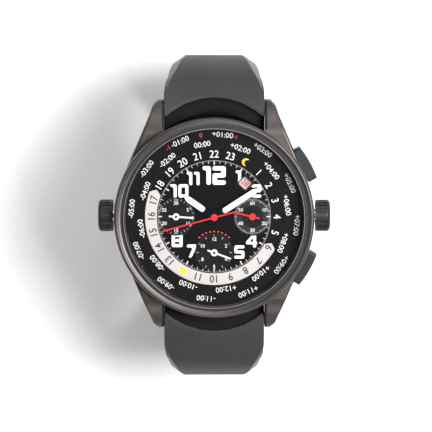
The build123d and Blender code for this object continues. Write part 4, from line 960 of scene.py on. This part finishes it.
@dataclass(frozen=True)
class SubDial:
    """One sub-dial: a turned plate sunk in the dial, its rim, ticks and words."""

    name: str
    centre: Point2
    words: tuple[str, ...]
    ticks: tuple[int, int]
    grey_ring: bool = False
    floor: float = 8.18
    rim: float = 4.0
    rim_width: float = 0.1
    rim_thick: float = 0.025
    hub_hole: float = 0.45
    grey_inner: float = 2.4
    grey_gap: float = 0.05
    gap: float = 0.02
    lap: float = 0.01
    plate_thick: float = 0.012
    tick_sizes: tuple[Triple, ...] = ((3.7, 0.3, 0.07), (3.62, 0.46, 0.12))
    words_at: float = 2.95
    style: FigureStyle = FigureStyle(0.78, Finish.PRINT_WHITE, 0.01)

    def build(self, top: float, extra: list[Mesh]) -> None:
        """Builds the sub-dial's pieces.

        Args:
            top: height of the dial in millimetres.
            extra: meshes that join its print.
        """
        floor, low, high = (self.floor + layer * self.plate_thick for layer in range(3))
        plate = [circle_band(self.rim - self.gap, self.hub_hole, floor, low, Finish.SUBDIAL, self.centre)]
        if self.grey_ring:
            grey = self.rim - self.grey_gap
            plate.append(circle_band(grey, self.grey_inner, floor, high, Finish.SUBDIAL_GREY, self.centre))
        new_piece(f"{self.name}_plate", plate, Finish.SUBDIAL, "case")
        rim = circle_band(self.rim + self.rim_width, self.rim - self.lap, top, top + self.rim_thick,
                          Finish.SUBDIAL_GREY, self.centre)
        new_piece(f"{self.name}_rim", [rim], Finish.SUBDIAL_GREY, "case")
        rows = zip(self.ticks, self.tick_sizes)
        meshes = [TickRow(count, *sizes).mesh(high, self.centre) for count, sizes in rows]
        for index, word in enumerate(self.words):
            place = on_dial(self.words_at, 360 * index / len(self.words), high, self.centre, upright=True)
            meshes.append(self.style.mesh(word, place))
        new_piece(f"{self.name}_print", meshes + extra, Finish.PRINT_WHITE, "case")


@dataclass(frozen=True)
class DialFace:
    """Everything printed or applied on the dial plate."""

    top: float = 8.3
    line_thick: float = 0.03
    rim_line: Point2 = (12.28, 12.18)
    numerals: tuple[Numeral, ...] = (
        Numeral("12", 0.0, 9.0, 4.05, 5.0, 0.95),
        Numeral("11", 331.3, 9.5, 2.9, 2.8),
        Numeral("10", 306.7, 9.4, 2.9, 3.9),
        Numeral("8", 237.0, 9.6, 2.9, 2.4),
        Numeral("7", 213.0, 9.0, 2.9, 2.05),
        Numeral("5", 144.8, 9.5, 2.9, 2.2),
        Numeral("4", 123.3, 9.7, 2.9, 2.4),
        Numeral("2", 58.4, 10.7, 2.9, 2.2),
        Numeral("1", 31.2, 10.1, 2.9, 1.2),
    )
    numeral_gap: float = 0.2
    cutter_reach: float = 1.0
    minute_rows: tuple[TickRow, ...] = (
        TickRow(60, 11.88, 0.56, 0.08),
        TickRow(240, 12.02, 0.24, 0.03, Finish.SILVER, 0.75),
        TickRow(12, 11.75, 0.82, 0.26),
    )
    sub_dials: tuple[SubDial, ...] = (
        SubDial("minutes", MINUTES_AT, ("30", "5", "10", "15", "20", "25"), (30, 12)),
        SubDial("seconds", SECONDS_AT, ("60", "10", "20", "30", "40", "50"), (60, 12), True),
        SubDial("hours", HOURS_AT, ("12", "2", "4", "6", "8", "10"), (12, 6)),
    )
    block_half: Point2 = (0.2, 0.17)
    block_corner: float = 0.05
    blocks_at: float = 4.62
    block_pitch: float = 11.0
    blocks_a_side: int = 4
    lip_halves: Point2 = (1.32, 1.12)
    lip_corner: float = 0.4
    lip_thick: float = 0.04
    window_half: float = 1.4

    def build(self) -> None:
        """Builds every piece of the dial."""
        self._numerals()
        track = [row.mesh(self.top) for row in self.minute_rows]
        new_piece("minute_track", track, Finish.PRINT_WHITE, "case")
        rim = circle_band(*self.rim_line, self.top, self.top + self.line_thick, Finish.SILVER)
        new_piece("dial_rim_line", [rim], Finish.SILVER, "case")
        for sub_dial in self.sub_dials:
            sub_dial.build(self.top, self._blocks() if sub_dial.centre == HOURS_AT else [])
        outlines = [rounded_box(half, half, self.lip_corner) for half in self.lip_halves]
        lip = flat_solid(outlines, self.lip_thick, on_dial(*WINDOW_AT, self.top), Finish.SUBDIAL_GREY)
        new_piece("date_window_lip", [lip], Finish.SUBDIAL_GREY, "case")

    def _numerals(self) -> None:
        """Stands the lume numerals on the dial, cut where a sub-dial or the window takes their place."""
        low, high = self.top - self.cutter_reach, self.top + self.cutter_reach
        cutters = [circle_band(sub_dial.rim + self.numeral_gap, 0.0, low, high, Finish.LUME, sub_dial.centre)
                   for sub_dial in self.sub_dials]
        window = rounded_box(self.window_half, self.window_half, self.lip_corner)
        cutters.append(flat_solid([window], high - low, on_dial(*WINDOW_AT, low), Finish.LUME))
        meshes = [mesh for numeral in self.numerals for mesh in numeral.meshes(self.top)]
        new_piece("hour_numerals", [cut(joined("hour_numerals", meshes), cutters)], Finish.LUME, "case")

    def _blocks(self) -> list[Mesh]:
        """Prints the arc of red blocks over the lower sub-dial.

        Returns:
            One mesh for each block.
        """
        block = rounded_box(*self.block_half, self.block_corner)
        turns = [self.block_pitch * step for step in range(-self.blocks_a_side, self.blocks_a_side + 1)]
        places = (on_dial(self.blocks_at, turn, self.top, HOURS_AT) for turn in turns)
        return [flat_solid([block], PRINT_THICK, place, Finish.PRINT_RED) for place in places]


@dataclass(frozen=True)
class DayNightBand:
    """Printing on the rotating 24 hour ring: a white day band, figures, a sun and a moon."""

    top: float = 8.4
    outer: float = 15.0
    inner: float = 12.48
    middle: float = 13.72
    hours: int = 24
    noon: int = 12
    day_from: int = 6
    day_to: int = 18
    hour_at_top: float = 22.0
    sunrise: float = 5.67
    sunset: float = 17.68
    taper: float = 3.4
    blunt_share: float = 0.02
    band_steps: int = 96
    day_style: FigureStyle = FigureStyle(1.65, Finish.PRINT_DARK, 0.03, 0.92)
    night_style: FigureStyle = FigureStyle(1.65, Finish.PRINT_WHITE, 0.012, 0.92)
    moon_radius: float = 0.85
    bite_radius: float = 0.72
    bite_shift: float = 0.42
    moon_steps: int = 24
    sun_radii: Point2 = (0.95, 0.6)
    sun_rays: int = 12

    def _angle(self, hour: float) -> float:
        """Gives the clock angle of an hour of the ring."""
        return (hour - self.hour_at_top) * 360 / self.hours

    def build(self) -> None:
        """Builds the ring's pieces."""
        self._band()
        self._figures()
        self._signs()

    def _band(self) -> None:
        """Lays the white band from sunrise to sunset, with pointed ends."""
        start, end = self._angle(self.sunrise), self._angle(self.sunset)
        outer: Outline = []
        inner: Outline = []
        for step in range(self.band_steps + 1):
            turn = start + (end - start) * step / self.band_steps
            share = min(1.0, max(self.blunt_share, min(turn - start, end - turn) / self.taper))
            for side, sign in ((outer, 1), (inner, -1)):
                reach = (self.outer + self.inner + sign * share * (self.outer - self.inner)) / 2
                side.append(tuple(clock(reach, turn).xy))
        band = flat_solid([outer + inner[::-1]], PRINT_THICK, on_dial(0.0, 0.0, self.top), Finish.DAY)
        new_piece("day_band", [band], Finish.DAY, "day_night_ring")

    def _figures(self) -> None:
        """Prints the hours, each standing outwards, but for the two that a sign replaces."""
        meshes: list[Mesh] = []
        for hour in (*range(1, self.noon), *range(self.noon + 1, self.hours)):
            day = self.day_from <= hour < self.day_to
            place = on_dial(self.middle, self._angle(hour), self.top + (PRINT_THICK if day else 0.0))
            meshes.append((self.day_style if day else self.night_style).mesh(str(hour), place))
        new_piece("day_ring_figures", meshes, Finish.PRINT_DARK, "day_night_ring")

    def _signs(self) -> None:
        """Prints the moon at 24 and the sun at 12."""
        radius, bite, shift = self.moon_radius, self.bite_radius, self.bite_shift
        reach = (radius**2 - bite**2 + shift**2) / (2 * shift)
        opening = sqrt(radius**2 - reach**2)
        first, second = atan2(opening, reach), atan2(opening, reach - shift)
        moon = arc((0.0, 0.0), radius, first, 2 * pi - first, self.moon_steps)
        moon += arc((shift, 0.0), bite, 2 * pi - second, second, self.moon_steps)[1:-1]
        sun: Outline = []
        for step in range(2 * self.sun_rays):
            size, turn = self.sun_radii[step % 2], pi * step / self.sun_rays
            sun.append((size * cos(turn), size * sin(turn)))
        signs = ((moon, self.hours, self.top), (sun, self.noon, self.top + PRINT_THICK))
        meshes = [flat_solid([outline], PRINT_THICK, on_dial(self.middle, self._angle(hour), level),
                             Finish.PRINT_YELLOW) for outline, hour, level in signs]
        new_piece("sun_and_moon", meshes, Finish.PRINT_YELLOW, "day_night_ring")


@dataclass(frozen=True)
class ZoneScale:
    """Printing on the outer ring: an hour offset for each zone, in two rows."""

    top: float = 8.85
    rows: Point2 = (18.05, 16.05)
    zones: int = 24
    most_ahead: int = 12
    first_angle: float = 5.7
    style: FigureStyle = FigureStyle(1.2, Finish.PRINT_WHITE, 0.008)
    red_style: FigureStyle = FigureStyle(0.95, Finish.PRINT_RED, 0.02)
    red_marks: tuple[tuple[float, str], ...] = ((350.7, "0"), (14.4, "+1"), (326.6, "-1"))
    edge_line: Point2 = (19.5, 19.4)
    line_thick: float = 0.03

    def build(self) -> None:
        """Prints the labels, the small red marks and the fine line at the edge."""
        meshes: list[Mesh] = []
        for step in range(self.zones):
            offset = step + 1 if step < self.most_ahead else step + 1 - self.zones
            label = f"{offset:+03d}:00" if offset else "00:00"
            turn = self.first_angle + 360 * step / self.zones
            meshes.append(self.style.mesh(label, on_dial(self.rows[step % 2], turn, self.top)))
        for turn, word in self.red_marks:
            meshes.append(self.red_style.mesh(word, on_dial(self.rows[0], turn, self.top)))
        new_piece("zone_labels", meshes, Finish.PRINT_WHITE, "zone_ring")
        edge = circle_band(*self.edge_line, self.top, self.top + self.line_thick, Finish.SILVER)
        new_piece("zone_edge_line", [edge], Finish.SILVER, "zone_ring")


@dataclass(frozen=True)
class DateNumbers:
    """The numbers printed on the date disc, with one of them in the window."""

    top: float = 7.55
    days: int = 31
    shown: int = 28
    style: FigureStyle = FigureStyle(1.25, Finish.PRINT_RED, 0.02, 0.85)

    def build(self) -> None:
        """Prints the numbers, so that the shown one stands in the window."""
        radius, window = WINDOW_AT
        meshes: list[Mesh] = []
        for day in range(1, self.days + 1):
            turn = window + (self.shown - day) * 360 / self.days
            meshes.append(self.style.mesh(str(day), on_dial(radius, turn, self.top)))
        new_piece("date_numbers", meshes, Finish.PRINT_RED, "date_disc")


@dataclass(frozen=True)
class Baton:
    """A broad hand whose outer part carries lume."""

    body: str
    angle: float
    start: float
    reach: float
    width: float
    level: float
    point: float = 1.0
    tip_half: float = 0.16
    corner: float = 0.58
    thick: float = 0.06

    def build(self) -> None:
        """Lays the strip of lume on the hand."""
        half, shoulder = self.width / 2, self.reach - self.point
        corners = [(-half, self.start), (half, self.start), (half, shoulder), (self.tip_half, self.reach),
                   (-self.tip_half, self.reach), (-half, shoulder)]
        plane = on_dial(0.0, self.angle, self.level)
        strip = flat_solid([rounded(corners, self.corner)], self.thick, plane, Finish.LUME)
        new_piece(f"{self.body}_lume", [strip], Finish.LUME, self.body)


@dataclass(frozen=True)
class HubCap:
    """A stepped cap on a hand's hub."""

    body: str
    centre: Point2
    level: float
    finish: Finish
    pin: Finish
    radius: float = 0.72
    pin_radius: float = 0.3
    thick: float = 0.06
    pin_base: float = 0.05
    pin_top: float = 0.1
    steps: int = 48
    pin_steps: int = 32

    def build(self) -> None:
        """Sets the cap on the hub."""
        low, high = self.level + self.pin_base, self.level + self.pin_top
        top = self.level + self.thick
        cap = circle_band(self.radius, 0.0, self.level, top, self.finish, self.centre, self.steps)
        pin = circle_band(self.pin_radius, 0.0, low, high, self.pin, self.centre, self.pin_steps)
        new_piece(f"{self.body}_cap", [cap, pin], self.finish, self.body)


HAND_DRESSING = (
    Baton("hour_hand", 304.8, 2.6, 7.85, 1.27, 9.15),
    Baton("minute_hand", 57.0, 2.3, 11.35, 1.2, 9.6),
    HubCap("chrono_seconds", (0.0, 0.0), 10.0, Finish.RED, Finish.RED),
    HubCap("small_seconds", SECONDS_AT, 8.8, Finish.RED, Finish.RED),
    HubCap("minute_counter", MINUTES_AT, 8.8, Finish.WHITE, Finish.PRINT_DARK),
    HubCap("hour_counter", HOURS_AT, 8.8, Finish.WHITE, Finish.PRINT_DARK),
)


@dataclass(frozen=True)
class StrapHalf:
    """One rubber half of the strap, as a smooth body with a raised middle and sloping flanks.

    Side outlines are places of distance from the watch's middle and height, in millimetres.
    """

    name: str
    sign: int
    outside: tuple[Point2, ...]
    inside: tuple[Point2, ...]
    end_spot: Point2
    start: Point2 = (21.2, 6.3)
    eye: Point2 = (23.3, 2.6)
    eye_radius: float = 2.1
    eye_turn: Point2 = (-90.0, -150.0)
    eye_steps: int = 4
    end_radius: float = 1.6
    end_turn: Point2 = (-95.0, -260.0)
    end_steps: int = 11
    outside_samples: int = 10
    inside_samples: int = 9
    half_at_lug: float = 10.95
    half_widths: tuple[Point2, ...] = ((4.2, 10.95), (-1.0, 10.2), (-12.0, 9.4), (-34.0, 9.0))
    plateau_halves: tuple[Point2, ...] = ((0.0, 8.5), (-11.0, 6.4), (-36.0, 6.6))
    least_flank: float = 0.35
    inner_flank: float = 2.4
    flank_drop: float = 2.0
    flank_top: float = 4.0
    growth_top: float = 4.6
    growth_depth: float = 6.0
    fade_from: float = 0.7
    fade_by: float = 0.45
    skin: float = 0.1
    edge_sinks: tuple[Point2, ...] = ((0.01, 0.22), (0.11, 0.06))
    hollow_centre: float = 10.25
    hollow_radius: float = 15.45
    hollow_floor: float = 4.7
    hollow_lip: float = 0.12
    least_hollow: float = 0.45
    wall_feet: tuple[Point2, ...] = ((-0.3, 0.0), (-0.12, 0.1))
    front_foot: Point2 = (0.1, -0.8)
    rim_drop: float = 0.16
    case_wall: float = 20.9
    case_gap: float = 0.3
    sweep_steps: int = 4
    top_steps: int = 14
    plateau_shares: tuple[float, ...] = (0.0, 0.3, 0.6, 0.85)
    crease_places: tuple[float, ...] = (-0.35, -0.12, 0.12)
    flank_shares: tuple[float, ...] = (0.25, 0.5, 0.75)
    edge_places: tuple[float, ...] = (-0.3, -0.1, 0.0)
    smooth_angle: float = 42.0
    flat: float = 0.2
    steep: float = 0.95

    @property
    def rim(self) -> int:
        """Gives the index of the outer run's point on the hollow's rim."""
        return self.sweep_steps + 3 + len(self.wall_feet)

    @staticmethod
    def _smooth_run(points: Outline, count: int) -> Outline:
        """Samples a curve that passes through points.

        Args:
            points: the points.
            count: number of samples in each span.

        Returns:
            The samples, ends included.
        """
        padded = [points[0], *points, points[-1]]
        result: Outline = []
        for index in range(1, len(padded) - 2):
            a, b, c, d = (Vector(padded[index + k]) for k in (-1, 0, 1, 2))
            for step in range(count):
                t = step / count
                result.append(tuple(b + 0.5 * ((c - a) * t + (2 * a - 5 * b + 4 * c - d) * t**2
                                               + (3 * b - a - 3 * c + d) * t**3)))
        return result + [points[-1]]

    @staticmethod
    def _between(stops: Outline, key: float) -> float:
        """Reads a value off stops.

        Args:
            stops: pairs of key and value, with the keys rising or falling.
            key: where to read.

        Returns:
            The value, held at the ends.
        """
        rising = sorted(stops)
        if key <= rising[0][0]:
            return rising[0][1]
        for (low, first), (high, second) in zip(rising, rising[1:]):
            if key <= high:
                return first + (second - first) * (key - low) / (high - low)
        return rising[-1][1]

    def _outer_run(self, across: float) -> Outline:
        """Gives the outer face's side outline.

        Args:
            across: distance from the strap's middle line at the lugs.

        Returns:
            Points from the hollow beside the case to the clasp.
        """
        curve = self._smooth_run([self.start, *self.outside], self.outside_samples)
        bend = 2 * self.outside_samples
        floor, (pivot, low) = self.hollow_floor, self.eye
        wall = self.hollow_centre + sqrt(self.hollow_radius**2 - across**2)
        wall = max(self.start[0] + self.least_hollow, wall)
        sweep = pivot - sqrt(self.case_wall**2 - across**2) - self.case_gap
        rise = asin(min(1.0, (floor - low) / sweep))
        run = [(pivot - sweep + self.front_foot[0], low + self.front_foot[1])]
        run += arc(self.eye, sweep, pi, pi - rise, self.sweep_steps)
        run.append(((run[-1][0] + wall) / 2, floor))
        run += [(wall + aside, floor + up) for aside, up in self.wall_feet]
        for step in range(self.top_steps + 1):
            y = wall + (curve[bend][0] - wall) * step / self.top_steps
            run.append((y, self._between(curve[:bend + 1], y) - (0.0 if step else self.rim_drop)))
        return run + curve[bend + 1:]

    def _inner_run(self) -> Outline:
        """Gives the rest of the side outline.

        Returns:
            Points from the clasp end back to the lug.
        """
        end = arc(self.end_spot, self.end_radius, *map(radians, self.end_turn), self.end_steps)
        inner = self._smooth_run(list(reversed(self.inside)), self.inside_samples)
        return end + inner + arc(self.eye, self.eye_radius, *map(radians, self.eye_turn), self.eye_steps)

    def _stations(self, plateau: float, half: float) -> list[float]:
        """Gives the places across one side, from the middle outwards.

        Args:
            plateau: half the width of the raised middle.
            half: half the strap's width.

        Returns:
            The places in rising order.
        """
        return sorted((*(plateau * share for share in self.plateau_shares),
                       *(plateau + place for place in self.crease_places),
                       *(plateau + (half - plateau) * share for share in self.flank_shares),
                       *(half + place for place in self.edge_places)))

    def _growth(self, height: float) -> float:
        """Gives how far the sloping flank has grown at a height below the lugs."""
        rise = min(1.0, max(0.0, (self.growth_top - height) / self.growth_depth))
        return rise * rise * (3.0 - 2.0 * rise)

    def _sink(self, x: float, plateau: float, half: float, share: float, height: float) -> float:
        """Gives how far a point of the outer face sinks.

        Args:
            x: its place across the strap.
            plateau: half the width of the raised middle there.
            half: half the strap's width there.
            share: its share of the outer face's length.
            height: its height.

        Returns:
            The depth in millimetres.
        """
        fade = 1.0 - self.fade_by * max(0.0, share - self.fade_from) / (1.0 - self.fade_from)
        slope = max(0.0, (x - plateau) / (half - plateau))
        edge = next((depth for reach, depth in self.edge_sinks if x >= half - reach), 0.0)
        return self.flank_drop * self._growth(height) * fade * slope + edge + self.skin

    def _column(self, side: int, k: int) -> list[Vector]:
        """Gives one side outline's points.

        Args:
            side: -1 or 1 for the side of the middle line.
            k: index of the station across that side.

        Returns:
            The points in metres.
        """
        outer = self._outer_run(self._stations(self.half_at_lug - self.least_flank, self.half_at_lug)[k])
        points: list[Vector] = []
        for index, (y, z) in enumerate(outer):
            half = self._between(self.half_widths, z)
            grown = self._growth(z)
            plateau = (half - self.least_flank) * (1.0 - grown)
            plateau += self._between(self.plateau_halves, z) * grown
            x = self._stations(plateau, half)[k]
            sink = self._sink(x, plateau, half, index / (len(outer) - 1), z) if index >= self.rim else 0.0
            before, after = Vector(outer[max(0, index - 1)]), Vector(outer[min(len(outer) - 1, index + 1)])
            way = (after - before).normalized() if index > self.rim else Vector((1.0, 0.0))
            points.append(Vector((side * x, self.sign * (y + way.y * sink), z - way.x * sink)) * MM)
        for y, z in self._inner_run():
            half = self._between(self.half_widths, z)
            x = self._stations(half - self.inner_flank, half)[k]
            points.append(Vector((side * x, self.sign * y, z)) * MM)
        return points

    def _paint(self, mesh: Mesh) -> None:
        """Paints the hollow's floor with a darker rubber as painted shade, and the side-facing flanks with a
        lighter rubber as painted sheen.

        Args:
            mesh: the half's mesh.
        """
        for finish in (Finish.RUBBER, Finish.RUBBER_HOLLOW_SHADE, Finish.RUBBER_FLANK_SHEEN):
            mesh.materials.append(PAINT.get(finish))
        level = (self.hollow_floor + self.hollow_lip) * MM
        for polygon in mesh.polygons:
            polygon.use_smooth = True
            y, z = self.sign * polygon.center.y, polygon.center.z
            # Painted shade: faces of the hollow from the eye up to just over its floor get the dark rubber.
            if self.eye[1] * MM < z < level and y < self.outside[0][0] * MM:
                polygon.material_index = 1
            # Painted sheen: side-facing faces below the flank top get the lighter flank rubber.
            elif z < self.flank_top * MM and self.flat < abs(polygon.normal.x) < self.steep:
                polygon.material_index = 2

    def build(self) -> None:
        """Builds the half and puts it in the CAD solid's place."""
        sides = len(self._stations(1.0, 2.0))
        order = [(-1, k) for k in range(sides - 1, 0, -1)] + [(1, k) for k in range(sides)]
        columns = [self._column(side, k) for side, k in order]
        count = len(columns[0])
        points = [point for column in columns for point in column]
        steps = [(index, (index + 1) % count) for index in range(count)]
        faces = [(low + here, low + count + here, low + count + there, low + there)
                 for low in range(0, len(points) - count, count) for here, there in steps]
        faces += [tuple(range(count)), tuple(reversed(range(len(points) - count, len(points))))]
        mesh = mesh_from(self.name, points, faces)
        self._paint(mesh)
        mesh.set_sharp_from_angle(angle=radians(self.smooth_angle))
        piece = new_piece(f"{self.name}_rubber", [mesh], Finish.RUBBER, self.name)
        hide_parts(self.name)


STRAPS = (
    StrapHalf("strap_upper", 1,
              ((25.6, 5.0), (31.2, -0.5), (33.5, -11.0), (32.2, -24.0), (26.5, -37.0), (14.6, -47.4)),
              ((25.4, 0.3), (28.4, -4.6), (29.9, -12.5), (28.8, -23.5), (23.6, -34.6), (13.4, -44.2)),
              (12.6, -45.9)),
    StrapHalf("strap_lower", -1,
              ((27.6, 5.1), (34.8, -0.5), (38.9, -12.5), (37.8, -25.0), (31.6, -38.0), (20.0, -46.6)),
              ((27.0, 0.5), (31.9, -4.4), (35.2, -13.5), (34.3, -24.2), (28.9, -35.4), (18.6, -43.5)),
              (17.6, -45.0)),
)


@dataclass(frozen=True)
class CaseDetails:
    """Small things on the case: slots of the screws, and a silver ring on the crystal's edge that is a
    painted glint.
    """

    back_slots: TickRow = TickRow(6, 17.35, 1.1, 0.18, Finish.PRINT_DARK, 30.0)
    back_level: float = 0.03
    bridge_spots: tuple[Point2, ...] = ((-11.5, -7.0), (13.0, -4.0), (-1.2, -13.6), (-5.0, 12.9), (8.2, 11.5))
    bridge_level: float = 2.83
    slot_halves: Point2 = (0.55, 0.09)
    slot_corner: float = 0.05
    slot_turn: float = 40.0
    glint_radii: Point2 = (19.56, 19.5)
    glint_levels: Point2 = (11.92, 12.4)
    glint_steps: int = 192

    def build(self) -> None:
        """Builds the details."""
        new_piece("case_back_screw_slots", [self.back_slots.mesh(self.back_level)], Finish.PRINT_DARK, "case")
        bar = rounded_box(*self.slot_halves, self.slot_corner)
        meshes: list[Mesh] = []
        for index, spot in enumerate(self.bridge_spots):
            turn = Matrix.Rotation(radians(self.slot_turn * index), 4, "Z")
            place = Matrix.Translation(Vector((*spot, self.bridge_level)) * MM) @ turn
            meshes.append(flat_solid([bar], PRINT_THICK, place, Finish.PRINT_DARK))
        new_piece("bridge_screw_slots", meshes, Finish.PRINT_DARK, "case")
        # Painted glint: a thin silver ring stands where the crystal's outer wall catches light as a bright
        # line.
        edge = circle_band(*self.glint_radii, *self.glint_levels, Finish.SILVER, steps=self.glint_steps)
        new_piece("crystal_edge_glint", [edge], Finish.SILVER, "case")


NODE_FINISHES: dict[Finish, tuple[str, ...]] = {
    Finish.CASE: ("case_middle",),
    Finish.BEZEL: ("bezel", "case_back"),
    Finish.GLASS: ("crystal", "back_window", "date_lens"),
    Finish.RUBBER_SEAL: ("glass_gaskets", "crown_seal"),
    Finish.CROWN: ("winding_crown", "zone_crown", "start_pusher", "reset_pusher"),
    Finish.STEEL: ("case_back_screws", "movement_ring", "bridge_screws", "stem_tubes", "lug_spring_bars",
                   "rotor_bearing", "rotor_screw", "start_pusher_spring", "reset_pusher_spring",
                   "cannon_pinion", "winding_stem", "zone_stem", "upper_end_bar", "lower_end_bar",
                   "clasp_near_pin", "clasp_far_pin", "hairspring", "pallet_fork"),
    Finish.PLATE: ("main_plate", "train_bridge", "barrel_bridge", "balance_cock", "rotor"),
    Finish.RUBY: ("plate_jewels",),
    Finish.GILT: ("minute_wheel", "hour_wheel", "ring_idler", "fourth_wheel", "third_wheel", "center_wheel",
                  "escape_wheel", "barrel", "balance_wheel"),
    Finish.DIAL: ("dial", "hour_hand", "minute_hand"),
    Finish.ZONE: ("day_night_ring", "zone_ring"),
    Finish.RED: ("chrono_seconds_hand", "small_seconds_hand"),
    Finish.WHITE: ("minute_counter_hand", "hour_counter_hand"),
    Finish.DATE: ("date_disc",),
    Finish.CLASP: ("clasp_cover", "clasp_middle_blade", "clasp_base_blade"),
}


def dress_nodes() -> None:
    """Gives every CAD node that stays in view its finish."""
    for finish, names in NODE_FINISHES.items():
        for name in names:
            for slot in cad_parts[name].material_slots:
                slot.material = PAINT.get(finish)
    log.info("dressed %d nodes", sum(len(names) for names in NODE_FINISHES.values()))


@dataclass(frozen=True)
class Studio:
    """Floor, lights and camera.

    Lamps have a name, a place and a side in millimetres, and a power in watts. The camera's clips are in
    metres.
    """

    floor_level: float = -50.05
    floor_half: float = 3000.0
    lamps: tuple[tuple[str, Triple, float, float], ...] = (
        ("key", (212.0, 68.0, 424.0), 220.0, 4.3),
        ("fill", (-430.0, 20.0, 170.0), 240.0, 0.15),
        ("back", (60.0, 420.0, 260.0), 240.0, 1.0),
        ("front", (20.0, -420.0, 260.0), 240.0, 0.7),
    )
    world_light: float = 0.24
    lean: float = 7.5
    distance: float = 600.0
    aim: Triple = (0.39, 0.28, 9.5)
    lens: float = 230.8
    sensor: float = 36.0
    clips: tuple[float, float] = (0.05, 20.0)

    def build(self) -> None:
        """Builds the studio."""
        self._floor()
        self._lights()
        self._camera()

    def _floor(self) -> None:
        """Lays a wide pale floor under the clasp."""
        side = self.floor_half
        corners = ((-side, -side), (side, -side), (side, side), (-side, side))
        mesh = bpy.data.meshes.new("floor")
        mesh.from_pydata([Vector((*corner, self.floor_level)) * MM for corner in corners], [], [(0, 1, 2, 3)])
        floor = linked("floor", coated(mesh, Finish.FLOOR))

    def _lights(self) -> None:
        """Hangs soft square lamps that face the watch, and lights the world evenly."""
        for name, place, side, power in self.lamps:
            lamp = bpy.data.lights.new(name, "AREA")
            lamp.shape = "SQUARE"
            lamp.size = side * MM
            lamp.energy = power
            holder = linked(name, lamp)
            holder.location = Vector(place) * MM
            holder.rotation_euler = (-holder.location).to_track_quat("-Z", "Y").to_euler()
        world = bpy.data.worlds.new("studio")
        world.use_nodes = True
        background = world.node_tree.nodes["Background"]
        background.inputs["Color"].default_value = (1.0, 1.0, 1.0, 1.0)
        background.inputs["Strength"].default_value = self.world_light
        bpy.context.scene.world = world
        bpy.context.scene.view_settings.view_transform = "Standard"

    def _camera(self) -> None:
        """Sets the camera above the dial, leaning towards 12 o'clock."""
        lean = radians(self.lean)
        camera = bpy.data.cameras.new("camera")
        camera.lens = self.lens
        camera.sensor_width = self.sensor
        camera.clip_start, camera.clip_end = self.clips
        camera.dof.use_dof = False
        holder = linked("camera", camera)
        holder.location = (Vector(self.aim) + Vector((0, sin(lean), cos(lean))) * self.distance) * MM
        holder.rotation_euler = (-lean, 0, 0)
        bpy.context.scene.camera = holder


def main() -> None:
    """Builds the scene."""
    Studio().build()
    dress_nodes()
    dial_groups = (DialFace(), DayNightBand(), ZoneScale(), DateNumbers())
    for group in (*dial_groups, *HAND_DRESSING, CaseDetails(), *STRAPS):
        group.build()


if __name__ == "__main__":
    main()
